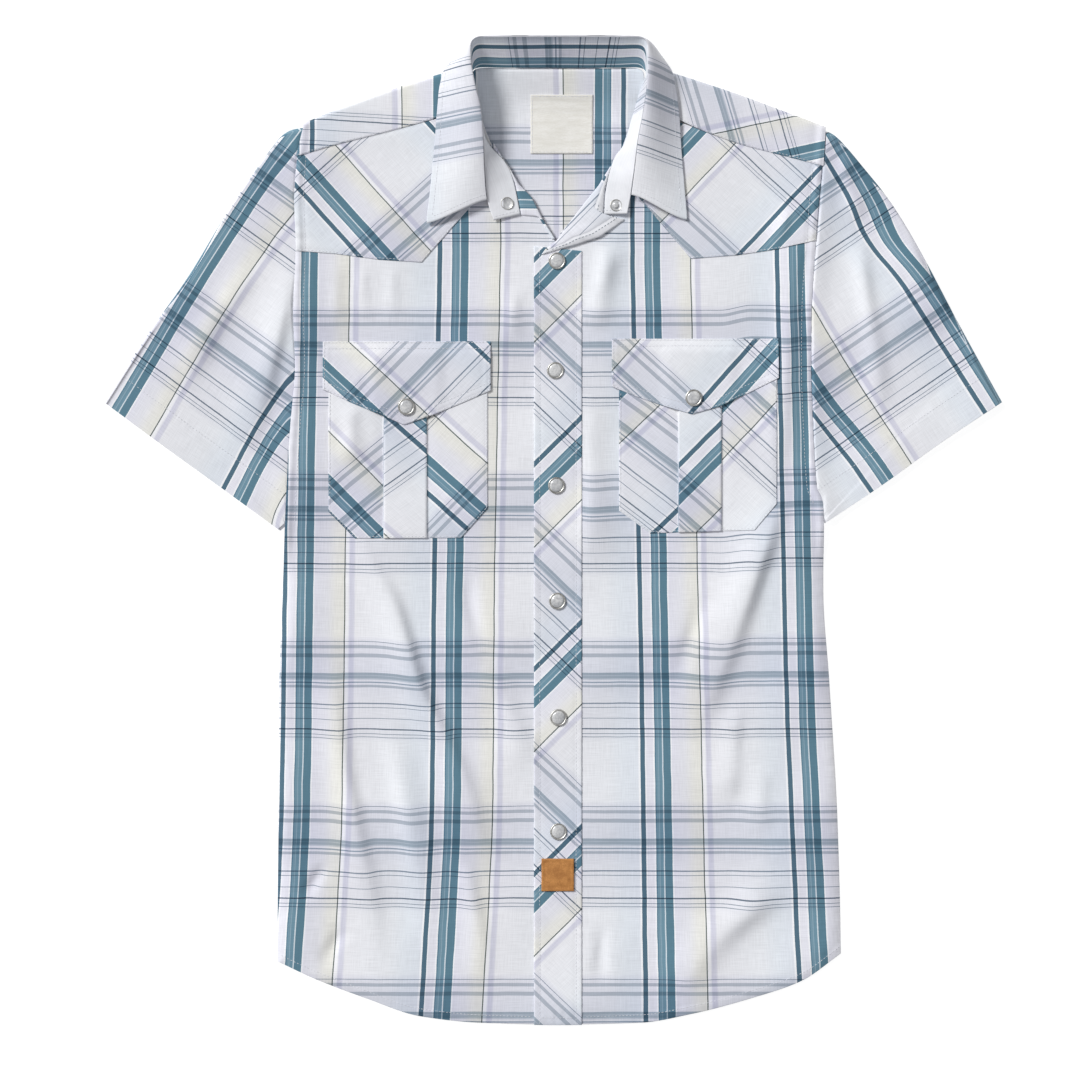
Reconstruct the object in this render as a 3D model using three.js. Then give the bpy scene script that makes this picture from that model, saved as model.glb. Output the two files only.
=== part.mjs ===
import * as THREE from "three";

// Western snap shirt with short sleeves, laid flat on its back. Millimetres, +Z up, collar
// towards +Y. The origin lies on the surface, under the centre front. Left and right are as
// seen from above, with the collar away from the viewer.

// Cloth
const WALL = 1.1; // a cloth wall, drawn a little thicker than the real poplin
const SEAM = 0.3; // gap between two pieces that meet
const BUTT = 0.9; // gap between the back and a sleeve root, whose edges are curved
const STACK = WALL + SEAM; // rise from one layer to the next
const FRONT_LIFT = 4.0; // outer face of the front panels above the surface
const SIDE_DROOP = 1.5; // how far the front sinks to the back panel at a side seam
const DROOP_WIDTH = 9; // width of that stretch
const HEM_DROOP = 1.0;
const HEM_SOFT = 18;
const ARM_RISE = 1.6; // the front lies over the sleeve root here
const ARM_WIDTH = 46;
const ARMPIT = 0; // the front reaches its full height over the sleeve here
const ARMPIT_SOFT = 32;
const NECK_RISE = 1.6; // the stack swells beside the neck
const NECK_SPREAD = 62;

// Body
const HEM_CORNER = -336; // height at which hem and side seam meet
const FRONT_TOP = { in: 62.2, left: -203.4, right: 206.2 }; // ends of the shoulder seams
const BACK_SEAM = 200; // lower seam of the back yoke
const BACK_SHORT = 1.5; // the back hem stays this far inside the front hem
const BACK_ARMPIT = { from: -14, to: -4 }; // the back narrows to the armhole line here
const PLACKET_HALF = 18.7;
const PLACKET_TOP = { left: 221.4, right: 217.6 };
const UNDERLAP_EDGE = 8; // free edge of the left front, under the placket
const OVERLAP_EDGE = 10; // edge of the right front, under the placket
const YOKE_HOLLOW = 0.035; // how far the front yoke's neck edge curves in, as a share of its x
const LAPEL_CLIMB = { from: -236, to: -225 }; // the right lapel climbs onto the placket here

// Sleeves
const SLEEVE_HEIGHT = 4.2;
const CUFF_HEIGHT = 5.4;

// Pockets
const POCKET_TOP = 134;
const PLEAT_RISE = 1.2;
const PLEAT_EDGE = 1.0;
const FLAP_SOFT = 12;
const FLAP_SEAM_SOFT = 11;

// Back yoke: neck seam, rows before the shoulder fold, round it (sines of the turn) and after it
const NECK_SEAM_Y = 359.6;
const NECK_Z = 8.2;
const FOLD_INSET = 8; // the height of a column's fold is read this far inside it
const ROWS_BEFORE = 2;
const TURN_SINES = [1, 0.7071, 0, -0.7071, -1];
const ROWS_AFTER = 4;
const ROW_DROP = 1.5; // rows beside the neck lie at least this far apart

// Snaps: cap radius, cap height, radius and height of the rim
const SNAP_RADIUS = 6.4;
const SNAP_HEIGHT = 2.6;
const SNAP_RIM = 1.5;
const SNAP_SIDES = 14;

// Detail of the grids
const FRONT_ACROSS = 14;
const FRONT_ALONG = 26;
const SLEEVE_ALONG = 8;
const SLEEVE_FLAT = 7; // stretches across one layer of a sleeve
const FOLD_STEPS = 3; // inner points of a folded edge
const STATION_STEPS = 2; // grid columns from one collar station to the next

// Names the columns of a short table
function table(names, rows) {
  const keys = names.split(" ");
  return rows.map((row) => Object.fromEntries(keys.map((key, i) => [key, row[i]])));
}

// Side edges of the front as seen, and the armhole line where the sleeve root lies, by height
const SIDES = table("y left right armLeft armRight", [
  [-386, -218.6, 221.0, -200, 200],
  [-330, -219.0, 220.8, -200, 200],
  [-230, -218.2, 218.4, -200, 200],
  [-120, -217.6, 212.0, -200, 200],
  [-45, -214.8, 207.2, -201, 199],
  [2, -213.0, 207.4, -203, 197],
  [22, -212.2, 206.6, -205, 195.5],
  [34, -211.6, 201.8, -205, 195],
  [80, -208.8, 199.0, -203, 193.5],
  [130, -205.0, 197.4, -199.5, 192.4],
  [170, -206.4, 197.8, -200.5, 192.8],
  [220, -204.4, 200.8, -199.2, 195.6],
  [257, -205.6, 203.6, -200.4, 198.4],
  [290, -203.4, 206.6, -197.6, 201.6],
  [316, -199.0, 209.0, -194.0, 204.0],
]);

// Hem of the front, by distance from the centre front
const HEM = table("x y", [
  [-219, -336.6],
  [-190, -350.2],
  [-150, -365.4],
  [-107, -379.6],
  [-60, -384.6],
  [0, -386],
  [64, -384.6],
  [105, -377.6],
  [153, -364.9],
  [190, -352.0],
  [221, -330.4],
]);

// Inner edges of the two fronts above the placket: the lapel roll, then the neck seam
const OPENING = table("y left right", [
  [-386, UNDERLAP_EDGE, OVERLAP_EDGE],
  [200, UNDERLAP_EDGE, OVERLAP_EDGE],
  [226, -2.6, -0.3],
  [241, -11.6, 10.0],
  [259, -22.0, 24.2],
  [270, -33.0, 33.0],
  [288, -43.4, 45.5],
  [302, -52.4, 51.4],
  [318, -58.6, 57.0],
  [331, -62.6, 61.6],
]);

// Seam where a front meets the shoulder part of the back yoke
const SHOULDER_SEAM = table("x y", [
  [-204, 291.8],
  [-172, 301.6],
  [-140, 309.6],
  [-98, 320.2],
  [-62, 329.8],
  [61, 330.2],
  [96, 318.0],
  [142, 301.4],
  [176, 292.4],
  [206, 284.6],
]);

// Front yokes: lower edge from armhole to neck, and the place on the shoulder seam above it
const YOKE_LEFT = table("x y topX", [
  [-204.4, 217.5, -203.4],
  [-174, 215.4, -178],
  [-140, 210.8, -146],
  [-106.4, 208.7, -113],
  [-84, 234.2, -86],
  [-62, 259.0, -64.5],
]);
const YOKE_RIGHT = table("x y topX", [
  [200.8, 225.8, 206.2],
  [170.8, 219.0, 178],
  [138, 214.2, 146],
  [103.7, 211.5, 112],
  [83, 236.0, 86],
  [60.5, 262.4, 63.5],
]);

// Turned lapels: outer edge (stand seam, then free edge) and inner edge (the roll)
const LAPEL_LEFT = table("outX outY inX inY", [
  [-52.6, 299.4, -50.6, 302.0],
  [-39.8, 286.0, -38.6, 283.6],
  [-33.6, 270.6, -30.6, 270.0],
  [-28.6, 245.4, -20.6, 259.6],
  [-15.4, 244.6, -11.6, 242.0],
  [-4.4, 226.6, -2.4, 227.4],
]);
const LAPEL_RIGHT = table("outX outY inX inY", [
  [43.2, 288.8, 45.2, 291.0],
  [36.6, 265.2, 31.4, 268.4],
  [35.2, 245.0, 22.0, 257.0],
  [52.6, 242.2, 16.0, 249.0],
  [32.8, 228.6, 7.4, 237.8],
  [13.3, 222.2, -0.6, 226.2],
  [-13.0, 214.6, -10.0, 218.8],
]);

// Pockets and flaps: lower edge by x; the box pleat lies between pleatFrom and pleatTo
const POCKET_LEFT = table("x low", [
  [-178.9, 14.2],
  [-158.3, -6.6],
  [-75.5, -6.2],
  [-54.8, 17.0],
]);
const POCKET_RIGHT = table("x low", [
  [47.7, 15.0],
  [71.9, -2.6],
  [153.1, -0.2],
  [170.6, 20.5],
]);
const FLAP_LEFT = table("x low", [
  [-183.4, 109.7],
  [-161.5, 99.3],
  [-137.6, 89.6],
  [-120.1, 81.9],
  [-97.7, 89.6],
  [-75.0, 98.8],
  [-52.4, 108.8],
]);
const FLAP_RIGHT = table("x low", [
  [42.0, 111.8],
  [60.0, 104.4],
  [79.9, 97.4],
  [104.5, 90.2],
  [126.0, 96.4],
  [149.0, 107.0],
  [172.0, 118.4],
]);
const POCKETS = table("side pleatFrom pleatTo flapTop pocket flap", [
  ["left", -135.7, -102.2, 147.1, POCKET_LEFT, FLAP_LEFT],
  ["right", 94.2, 127.6, 149.2, POCKET_RIGHT, FLAP_RIGHT],
]);

// Largest folds of the fronts: soft ridges from one point to another
const FOLDS = table("x1 y1 x2 y2 width height", [
  [-163, -14, -112, -158, 13, 2.6],
  [-126, 18, -80, -146, 11, 1.4],
  [-152, -172, -156, -318, 10, 2.4],
  [-127, -176, -124, -330, 9, 1.8],
  [-60, -196, -52, -334, 12, 1.4],
  [186, 8, 122, -84, 13, 2.8],
  [128, -92, 112, -196, 14, 2.0],
  [131, -262, 138, -346, 12, 1.8],
  [40, -120, 52, -300, 12, 1.4],
]);

// Sleeves: outer fold line from the shoulder to the cuff
const SLEEVE_FOLD = table("leftX leftY rightX rightY", [
  [-194.6, 314.6, 204.6, 312.4],
  [-211.4, 310.6, 217.6, 306.6],
  [-225.6, 295.2, 238.8, 282.4],
  [-255.6, 251.9, 260.9, 254.0],
  [-288.4, 198.0, 283.4, 216.6],
  [-321.4, 150.8, 315.4, 156.0],
  [-354.1, 99.8, 346.5, 99.8],
]);
const CUFF = table("leftX leftY rightX rightY", [
  [-354.1, 99.8, 346.5, 99.8],
  [-308, 65.8, 299.6, 68.6],
  [-262.2, 32.6, 253.4, 35.4],
  [-216.6, -0.6, 208.2, 5.2],
]);
const UNDERARM = table("leftX leftY rightX rightY", [
  [-204.6, 9.6, 196.6, 22.0],
  [-216.6, -0.6, 208.2, 5.2],
]);

// Columns of the back yoke: start of the column, the fold over the shoulder, the lower end, and
// how much the column slopes to the neck (1) instead of folding over (0)
const YOKE_COLUMNS = table("x y z foldX foldY lowX slope", [
  [-204.2, 292.3, 0, -198.6, 317.4, -198.0, 0],
  [-172.0, 302.1, 0, -172.0, 328.4, -172, 0],
  [-140.0, 310.1, 0, -140.0, 340.2, -142, 0],
  [-110.0, 318.0, 0, -112.0, 349.6, -114, 0],
  [-84.0, 325.6, 0, -92.0, 355.8, -92, 0],
  [-63.2, 331.4, 0, -81.0, 358.6, -82, 0],
  [-65.2, 342.0, 6.9, -76.0, 360.2, -76, 0.4],
  [-67.4, 352.8, 7.6, -71.0, 361.0, -70, 0.8],
  [-62.0, NECK_SEAM_Y, NECK_Z, -66.0, 361.0, -62, 1],
  [-36.0, NECK_SEAM_Y, NECK_Z, -36.0, 361.0, -37, 1],
  [0, NECK_SEAM_Y, NECK_Z, 0, 361.0, 0, 1],
  [36.0, NECK_SEAM_Y, NECK_Z, 36.0, 361.0, 37, 1],
  [62.0, NECK_SEAM_Y, NECK_Z, 66.0, 361.0, 62, 1],
  [67.4, 352.8, 7.6, 71.0, 361.0, 70, 0.8],
  [65.2, 342.0, 6.9, 76.0, 360.2, 76, 0.4],
  [63.2, 331.4, 0, 81.0, 358.6, 82, 0],
  [84.0, 325.6, 0, 92.0, 355.8, 92, 0],
  [110.0, 314.0, 0, 112.0, 349.6, 114, 0],
  [140.0, 302.8, 0, 140.0, 340.2, 142, 0],
  [172.0, 294.2, 0, 172.0, 328.4, 172, 0],
  [207.0, 285.0, 0, 208.6, 314.6, 194.6, 0],
]);

// Height of the yoke's under face along the slope from the body up to the neck seam
const NECK_SLOPE = table("y z", [
  [200, 0],
  [230, 0],
  [262, 0],
  [294, 0],
  [316, 0],
  [325, 0],
  [334, 0.9],
  [342, 3.0],
  [350, 5.6],
  [355, 7.1],
  [NECK_SEAM_Y, NECK_Z],
]);

// Collar, a row for each station round the neck: neck seam, roll where the leaf turns over, free
// edge of the leaf, and the bend of the leaf between them
const COLLAR = table(
  "seamX seamY seamZ rollX rollY rollZ edgeX edgeY edgeZ bow lift tuck hang",
  [
    [-29.4, 246.0, 5.7, -50.0, 241.2, 5.9, -100, 224, 8, 10, 1, 12, 1],
    [-34.4, 270.9, 5.8, -54.8, 256.8, 6.9, -102.4, 238.9, 7.6, 10, 1.4, 14, 1],
    [-41.0, 286.6, 6.1, -56.8, 281.0, 10.0, -99.6, 266, 7.8, 9, 1.6, 14, 2],
    [-54.0, 301.4, 6.9, -57.6, 303.0, 15.0, -96.4, 300, 8.2, 8, 2.0, 13, 4],
    [-61.4, 320.0, 7.6, -59.6, 327.0, 21.0, -94.2, 328, 9.2, 6, 2.0, 12, 6],
    [-65.8, 342.0, 8.9, -64.0, 346.0, 25.0, -92.2, 346.6, 9.8, 5, 2.0, 10, 8],
    [-67.8, 354.0, 9.3, -67.0, 366.0, 27.0, -87.0, 361.4, 8.4, 5, 2.0, 4, 9],
    [-62.0, 359.6, 9.8, -64.4, 379.8, 28.0, -72.0, 372.4, 2.4, 6, 1.0, -6, 6],
    [-40.0, 359.6, 9.8, -44.0, 381.4, 28.0, -46.0, 363.0, 0.7, 6.4, 1.0, -24, 1],
    [0.8, 359.6, 9.8, 0.8, 381.6, 28.0, 0.8, 358.0, 0.7, 6.4, 1.0, -28, 1],
    [41.6, 359.6, 9.8, 45.6, 381.4, 28.0, 47.6, 363.0, 0.7, 6.4, 1.0, -24, 1],
    [63.6, 359.6, 9.8, 66.0, 379.8, 28.0, 73.6, 372.0, 2.4, 6, 1.0, -6, 6],
    [68.4, 354.0, 9.3, 68.8, 366.0, 27.0, 87.4, 360.6, 8.4, 5, 2.0, 4, 9],
    [66.0, 342.0, 8.9, 67.0, 346.0, 25.0, 91.6, 345.4, 9.8, 5, 2.0, 10, 8],
    [61.0, 320.0, 7.6, 64.6, 324.0, 21.0, 94.6, 324, 9.2, 6, 2.0, 12, 6],
    [53.2, 301.4, 6.9, 61.8, 303.0, 15.0, 96.2, 299, 8.2, 8, 2.0, 13, 4],
    [43.4, 289.0, 6.1, 59.2, 281.0, 10.0, 98.6, 268, 7.8, 9, 1.6, 14, 2],
    [37.4, 265.4, 5.8, 56.6, 260.8, 6.9, 100.6, 241.8, 7.6, 10, 1.4, 14, 1],
    [36.0, 246.0, 5.7, 53.9, 246.4, 5.9, 98, 226, 8, 10, 1, 12, 1],
  ],
);

// Snaps: where each sits, and the piece that carries it
const SNAPS = table("name x y on", [
  ["placket_snap_1", -0.8, 209.8, "placket"],
  ["placket_snap_2", -2.0, 124.4, "placket"],
  ["placket_snap_3", -1.2, 34.7, "placket"],
  ["placket_snap_4", -0.4, -55.4, "placket"],
  ["placket_snap_5", 0.4, -146.2, "placket"],
  ["placket_snap_6", 0.4, -235.2, "placket"],
  ["pocket_snap_left", -118.2, 96.0, "left"],
  ["pocket_snap_right", 105.8, 103.0, "right"],
  ["collar_snap_left", -39.7, 254.5, "stand"],
  ["collar_snap_right", 45.2, 253.0, "stand"],
]);

const PATCH = { x1: -12.9, x2: 12.5, y1: -281.6, y2: -256.2 };
const LABEL = { x1: -21.4, x2: 27.2, y1: 293.8, y2: 339.6 };
const LABEL_BENDS = [316, 325, 334]; // where the slope under the label bends
const LABEL_GAP = 0.4;

// Finishes
const POPLIN = { color: 0xe9ecf2, roughness: 0.85, metalness: 0 };
const BIAS_POPLIN = { color: 0xd7e0ea, roughness: 0.85, metalness: 0 };
const PEARL = { color: 0xe4e4e2, roughness: 0.25, metalness: 0.1 };
const LEATHER = { color: 0xc0873c, roughness: 0.7, metalness: 0 };
const TAPE = { color: 0xf3f1e8, roughness: 0.9, metalness: 0 };

const { lerp, smoothstep, clamp } = THREE.MathUtils;
const shirt = new THREE.Group();

// Smooth value of a column at a place along the key column, without overshoot
function read(rows, key, column, value) {
  const after = rows.findIndex((row) => row[key] > value);
  const i = clamp(after < 0 ? rows.length - 2 : after - 1, 0, rows.length - 2);
  const slope = (n) => {
    const from = rows[n];
    const to = rows[n + 1];
    return from && to ? (to[column] - from[column]) / (to[key] - from[key]) : null;
  };
  const tangent = (n) => {
    const before = slope(n - 1);
    const next = slope(n);
    if (before === null || next === null) return before ?? next;
    return before * next <= 0 ? 0 : (2 * before * next) / (before + next);
  };
  const span = rows[i + 1][key] - rows[i][key];
  const t = clamp((value - rows[i][key]) / span, 0, 1);
  const rise = t * t * (3 - 2 * t);
  const start = tangent(i) * span * t * (1 - t) * (1 - t);
  const end = tangent(i + 1) * span * t * t * (1 - t);
  return lerp(rows[i][column], rows[i + 1][column], rise) + start - end;
}

// Value of a column on straight stretches between the rows, by key column
function straight(rows, key, column, value) {
  const after = rows.findIndex((row) => row[key] > value);
  const i = clamp(after < 0 ? rows.length - 2 : after - 1, 0, rows.length - 2);
  const t = clamp((value - rows[i][key]) / (rows[i + 1][key] - rows[i][key]), 0, 1);
  return lerp(rows[i][column], rows[i + 1][column], t);
}

// Curve through the points of up to three columns, one unit of t for the whole table
function through(rows, columns) {
  const points = rows.map((row) => new THREE.Vector3(...columns.map((column) => row[column])));
  const curve = new THREE.CatmullRomCurve3(points, false, "catmullrom", 0.5);
  return (t) => curve.getPoint(clamp(t, 0, 1));
}

// The same with straight stretches and corners at the rows
function broken(rows, columns) {
  const points = rows.map((row) => new THREE.Vector3(...columns.map((column) => row[column])));
  return (t) => {
    const place = clamp(t, 0, 1) * (points.length - 1);
    const i = Math.min(Math.floor(place), points.length - 2);
    return points[i].clone().lerp(points[i + 1], place - i);
  };
}

// Surface inside four edges, blended from them (a Coons patch)
function patch(bottom, top, start, end) {
  return (u, v) => {
    const point = bottom(u).multiplyScalar(1 - v).addScaledVector(top(u), v);
    point.addScaledVector(start(v), 1 - u).addScaledVector(end(v), u);
    point.addScaledVector(bottom(0), -(1 - u) * (1 - v)).addScaledVector(bottom(1), -u * (1 - v));
    return point.addScaledVector(top(0), -(1 - u) * v).addScaledVector(top(1), -u * v);
  };
}

// Grid of points, rows of v with columns of u
function grid(point, across, along) {
  const rows = [];
  for (let j = 0; j <= along; j++) {
    const row = [];
    for (let i = 0; i <= across; i++) row.push(point(i / across, j / along, i, j));
    rows.push(row);
  }
  return rows;
}

// Closed solid between an outer and an inner grid; round closes the columns into a tube
function solid(outer, inner, round = false) {
  const rows = outer.length;
  const columns = outer[0].length;
  const wrap = (i) => (round ? i % columns : i);
  const points = [...outer.flat(), ...inner.flat()];
  const index = (side, j, i) => side * rows * columns + j * columns + wrap(i);
  const faces = [];
  const quad = (a, b, c, d) => faces.push([a, b, c], [a, c, d]);
  const lastColumn = round ? columns : columns - 1;
  for (let j = 0; j < rows - 1; j++) {
    for (let i = 0; i < lastColumn; i++) {
      quad(index(0, j, i), index(0, j, i + 1), index(0, j + 1, i + 1), index(0, j + 1, i));
      quad(index(1, j, i), index(1, j + 1, i), index(1, j + 1, i + 1), index(1, j, i + 1));
    }
  }
  for (let i = 0; i < lastColumn; i++) {
    const top = rows - 1;
    quad(index(0, 0, i), index(1, 0, i), index(1, 0, i + 1), index(0, 0, i + 1));
    quad(index(0, top, i), index(0, top, i + 1), index(1, top, i + 1), index(1, top, i));
  }
  for (let j = 0; !round && j < rows - 1; j++) {
    const end = columns - 1;
    quad(index(0, j, 0), index(0, j + 1, 0), index(1, j + 1, 0), index(1, j, 0));
    quad(index(0, j, end), index(1, j, end), index(1, j + 1, end), index(0, j + 1, end));
  }
  const volume = faces.reduce((sum, [a, b, c]) => {
    return sum + points[a].dot(points[b].clone().cross(points[c]));
  }, 0);
  const turned = volume < 0 ? faces.map(([a, b, c]) => [a, c, b]) : faces;
  const geometry = new THREE.BufferGeometry();
  geometry.setAttribute(
    "position",
    new THREE.Float32BufferAttribute(
      points.flatMap((p) => p.toArray()),
      3,
    ),
  );
  geometry.setIndex(turned.flat());
  geometry.computeVertexNormals();
  return geometry;
}

// Inner grid at one wall's distance along the normals; side says which way is inwards
function offset(outer, side, round = false) {
  const rows = outer.length;
  const columns = outer[0].length;
  return outer.map((row, j) =>
    row.map((point, i) => {
      const left = round ? row[(i + columns - 1) % columns] : row[Math.max(i - 1, 0)];
      const right = round ? row[(i + 1) % columns] : row[Math.min(i + 1, columns - 1)];
      const below = outer[Math.max(j - 1, 0)][i];
      const above = outer[Math.min(j + 1, rows - 1)][i];
      const across = right.clone().sub(left);
      const normal = across.cross(above.clone().sub(below)).normalize();
      return point.clone().addScaledVector(normal, side * WALL);
    }),
  );
}

function add(name, geometry, finish) {
  const mesh = new THREE.Mesh(geometry, new THREE.MeshStandardMaterial(finish));
  mesh.name = name;
  shirt.add(mesh);
}

// A soft ridge: full height along its middle, fading across it and towards both ends
function ridge(x, y, fold) {
  const run = Math.hypot(fold.x2 - fold.x1, fold.y2 - fold.y1);
  const dx = (fold.x2 - fold.x1) / run;
  const dy = (fold.y2 - fold.y1) / run;
  const along = ((x - fold.x1) * dx + (y - fold.y1) * dy) / run;
  const across = ((x - fold.x1) * dy - (y - fold.y1) * dx) / fold.width;
  if (along <= 0 || along >= 1) return 0;
  return fold.height * Math.sin(Math.PI * along) ** 1.2 * Math.exp(-across * across);
}

// Outer face of the front panels above the surface
function frontHeight(x, y) {
  const side = x < 0 ? "left" : "right";
  const edge = Math.abs(read(SIDES, "y", side, y)) - Math.abs(x);
  const armhole = smoothstep(y, ARMPIT - ARMPIT_SOFT, ARMPIT);
  const droop = SIDE_DROOP * (1 - armhole) * (1 - clamp(edge / DROOP_WIDTH, 0, 1)) ** 2;
  const arm = ARM_RISE * armhole * (1 - smoothstep(edge, 4, ARM_WIDTH));
  const hem = HEM_DROOP * (1 - smoothstep(y - read(HEM, "x", "y", x), 0, HEM_SOFT));
  const fromNeck = Math.hypot(Math.abs(x) - 66, y - 345) / NECK_SPREAD;
  const neck = NECK_RISE * Math.exp(-fromNeck * fromNeck);
  const folds = FOLDS.reduce((sum, fold) => sum + ridge(x, y, fold), 0);
  return FRONT_LIFT - droop + arm - hem * (1 - droop / SIDE_DROOP) + neck + folds;
}

// A piece that lies on the front: its plan carried up by a number of layers
function layer(name, plan, across, along, layers, finish, raised = () => 0) {
  const outer = grid(plan, across, along).map((row) =>
    row.map((p) => {
      const z = frontHeight(p.x, p.y) + STACK * layers(p.x, p.y);
      return new THREE.Vector3(p.x, p.y, z + raised(p.x, p.y));
    }),
  );
  const inner = outer.map((row) =>
    row.map((p) => new THREE.Vector3(p.x, p.y, p.z - raised(p.x, p.y) - WALL)),
  );
  add(name, solid(outer, inner), finish);
}

// Front panel: hem below, shoulder seam above, opening edge and side edge
function buildFront(side) {
  const sign = side === "left" ? -1 : 1;
  const top = { in: sign * FRONT_TOP.in, out: FRONT_TOP[side] };
  const low = side === "left" ? UNDERLAP_EDGE : OVERLAP_EDGE;
  const outX = read(SIDES, "y", side, HEM_CORNER);
  const seamY = (x) => read(SHOULDER_SEAM, "x", "y", x);
  const hem = (u) => {
    const x = lerp(low, outX, u);
    return new THREE.Vector3(x, read(HEM, "x", "y", x), 0);
  };
  const seam = (u) => {
    const x = lerp(top.in, top.out, u);
    return new THREE.Vector3(x, seamY(x), 0);
  };
  const opening = (v) => {
    const y = lerp(hem(0).y, seam(0).y, v);
    const x = v === 1 ? top.in : read(OPENING, "y", side, y);
    return new THREE.Vector3(x, y, 0);
  };
  const edge = (v) => {
    const y = lerp(hem(1).y, seam(1).y, v);
    return new THREE.Vector3(v === 0 ? outX : read(SIDES, "y", side, y), y, 0);
  };
  const plan = patch(hem, seam, opening, edge);
  layer(`front_${side}`, plan, FRONT_ACROSS, FRONT_ALONG, () => 0, POPLIN);
}

// Pointed front yoke over the top of a front panel, up to the shoulder seam
function buildFrontYoke(side, rows) {
  const low = broken(rows, ["x", "y", "topX"]);
  const bottom = (u) => low(u).setZ(0);
  const top = (u) => {
    const x = low(u).z;
    return new THREE.Vector3(x, read(SHOULDER_SEAM, "x", "y", x) - 2 * SEAM, 0);
  };
  const start = (v) => {
    const y = lerp(bottom(0).y, top(0).y, v);
    const x = v === 0 || v === 1 ? lerp(bottom(0).x, top(0).x, v) : read(SIDES, "y", side, y);
    return new THREE.Vector3(x, y, 0);
  };
  const end = (v) => {
    const y = lerp(bottom(1).y, top(1).y, v);
    const hollow = Math.sin(Math.PI * v) * YOKE_HOLLOW;
    return new THREE.Vector3(lerp(bottom(1).x, top(1).x, v) * (1 - hollow), y, 0);
  };
  const plan = patch(bottom, top, start, end);
  layer(`front_yoke_${side}`, plan, (rows.length - 1) * 2, 6, () => 1, BIAS_POPLIN);
}

// Turned lapel between the stand seam and the roll; near the placket it lies on one layer more
function buildLapel(side, rows) {
  const outer = broken(rows, ["outX", "outY"]);
  const inner = broken(rows, ["inX", "inY"]);
  const plan = (u, v) => outer(u).lerp(inner(u), v).setZ(0);
  const climb = (y) => smoothstep(-y, LAPEL_CLIMB.from, LAPEL_CLIMB.to);
  const layers = (x, y) => (side === "right" ? 1 + climb(y) : 1);
  layer(`lapel_${side}`, plan, (rows.length - 1) * 2, 3, layers, POPLIN);
}

// Bias-cut placket over both fronts, from the hem to the top snap
function buildPlacket() {
  const plan = (u, v) => {
    const x = lerp(-PLACKET_HALF, PLACKET_HALF, u);
    const top = lerp(PLACKET_TOP.left, PLACKET_TOP.right, u);
    return new THREE.Vector3(x, lerp(read(HEM, "x", "y", x) - 0.4, top, v), 0);
  };
  layer("placket", plan, 4, FRONT_ALONG, () => 1, BIAS_POPLIN);
}

// Pocket with a box pleat, and its pointed flap over it
function buildPocket(row) {
  const first = row.pocket[0].x;
  const last = row.pocket.at(-1).x;
  const stops = [
    first,
    row.pocket[1].x,
    lerp(row.pocket[1].x, row.pleatFrom, 0.5),
    row.pleatFrom - PLEAT_EDGE,
    row.pleatFrom,
    lerp(row.pleatFrom, row.pleatTo, 0.5),
    row.pleatTo,
    row.pleatTo + PLEAT_EDGE,
    lerp(row.pleatTo, row.pocket[2].x, 0.5),
    row.pocket[2].x,
    last,
  ];
  const pocketPlan = (u, v, i) => {
    const low = straight(row.pocket, "x", "low", stops[i]);
    return new THREE.Vector3(stops[i], lerp(low, POCKET_TOP, v), 0);
  };
  const pleat = (x) => (x >= row.pleatFrom && x <= row.pleatTo ? PLEAT_RISE : 0);
  layer(`pocket_${row.side}`, pocketPlan, stops.length - 1, 7, () => 1, BIAS_POPLIN, pleat);

  const flapPlan = (u, v) => {
    const x = lerp(row.flap[0].x, row.flap.at(-1).x, u);
    return new THREE.Vector3(x, lerp(straight(row.flap, "x", "low", x), row.flapTop, v), 0);
  };
  const rise = (x, y) => smoothstep(row.flapTop - y, 0, FLAP_SEAM_SOFT);
  const swell = (x, y) => {
    const outside = Math.max(row.pleatFrom - x, x - row.pleatTo, 0);
    return (PLEAT_RISE / STACK) * (1 - smoothstep(outside, 5, 5 + FLAP_SOFT)) * rise(x, y);
  };
  const layers = (x, y) => 1 + rise(x, y) + swell(x, y);
  layer(`pocket_flap_${row.side}`, flapPlan, 12, 5, layers, BIAS_POPLIN);
  return (x, y) => frontHeight(x, y) + STACK * layers(x, y);
}

// Back panel, flat on the surface from the hem to the back yoke
function buildBack() {
  const x = (side, y) => {
    const edge = read(SIDES, "y", side, y);
    const arm = read(SIDES, "y", side === "left" ? "armLeft" : "armRight", y);
    const inward = side === "left" ? BUTT : -BUTT;
    return lerp(edge, arm + inward, smoothstep(y, BACK_ARMPIT.from, BACK_ARMPIT.to));
  };
  const plan = (u, v) => {
    const side = [x("left", HEM_CORNER), x("right", HEM_CORNER)];
    const low = read(HEM, "x", "y", lerp(...side, u)) + BACK_SHORT;
    const y = lerp(low, BACK_SEAM - SEAM, v);
    return new THREE.Vector3(lerp(x("left", y), x("right", y), u), y, 0);
  };
  const outer = grid(plan, 12, 22);
  const inner = outer.map((row) => row.map((p) => p.clone().setZ(WALL)));
  add("back_panel", solid(outer, inner), POPLIN);
}

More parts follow.
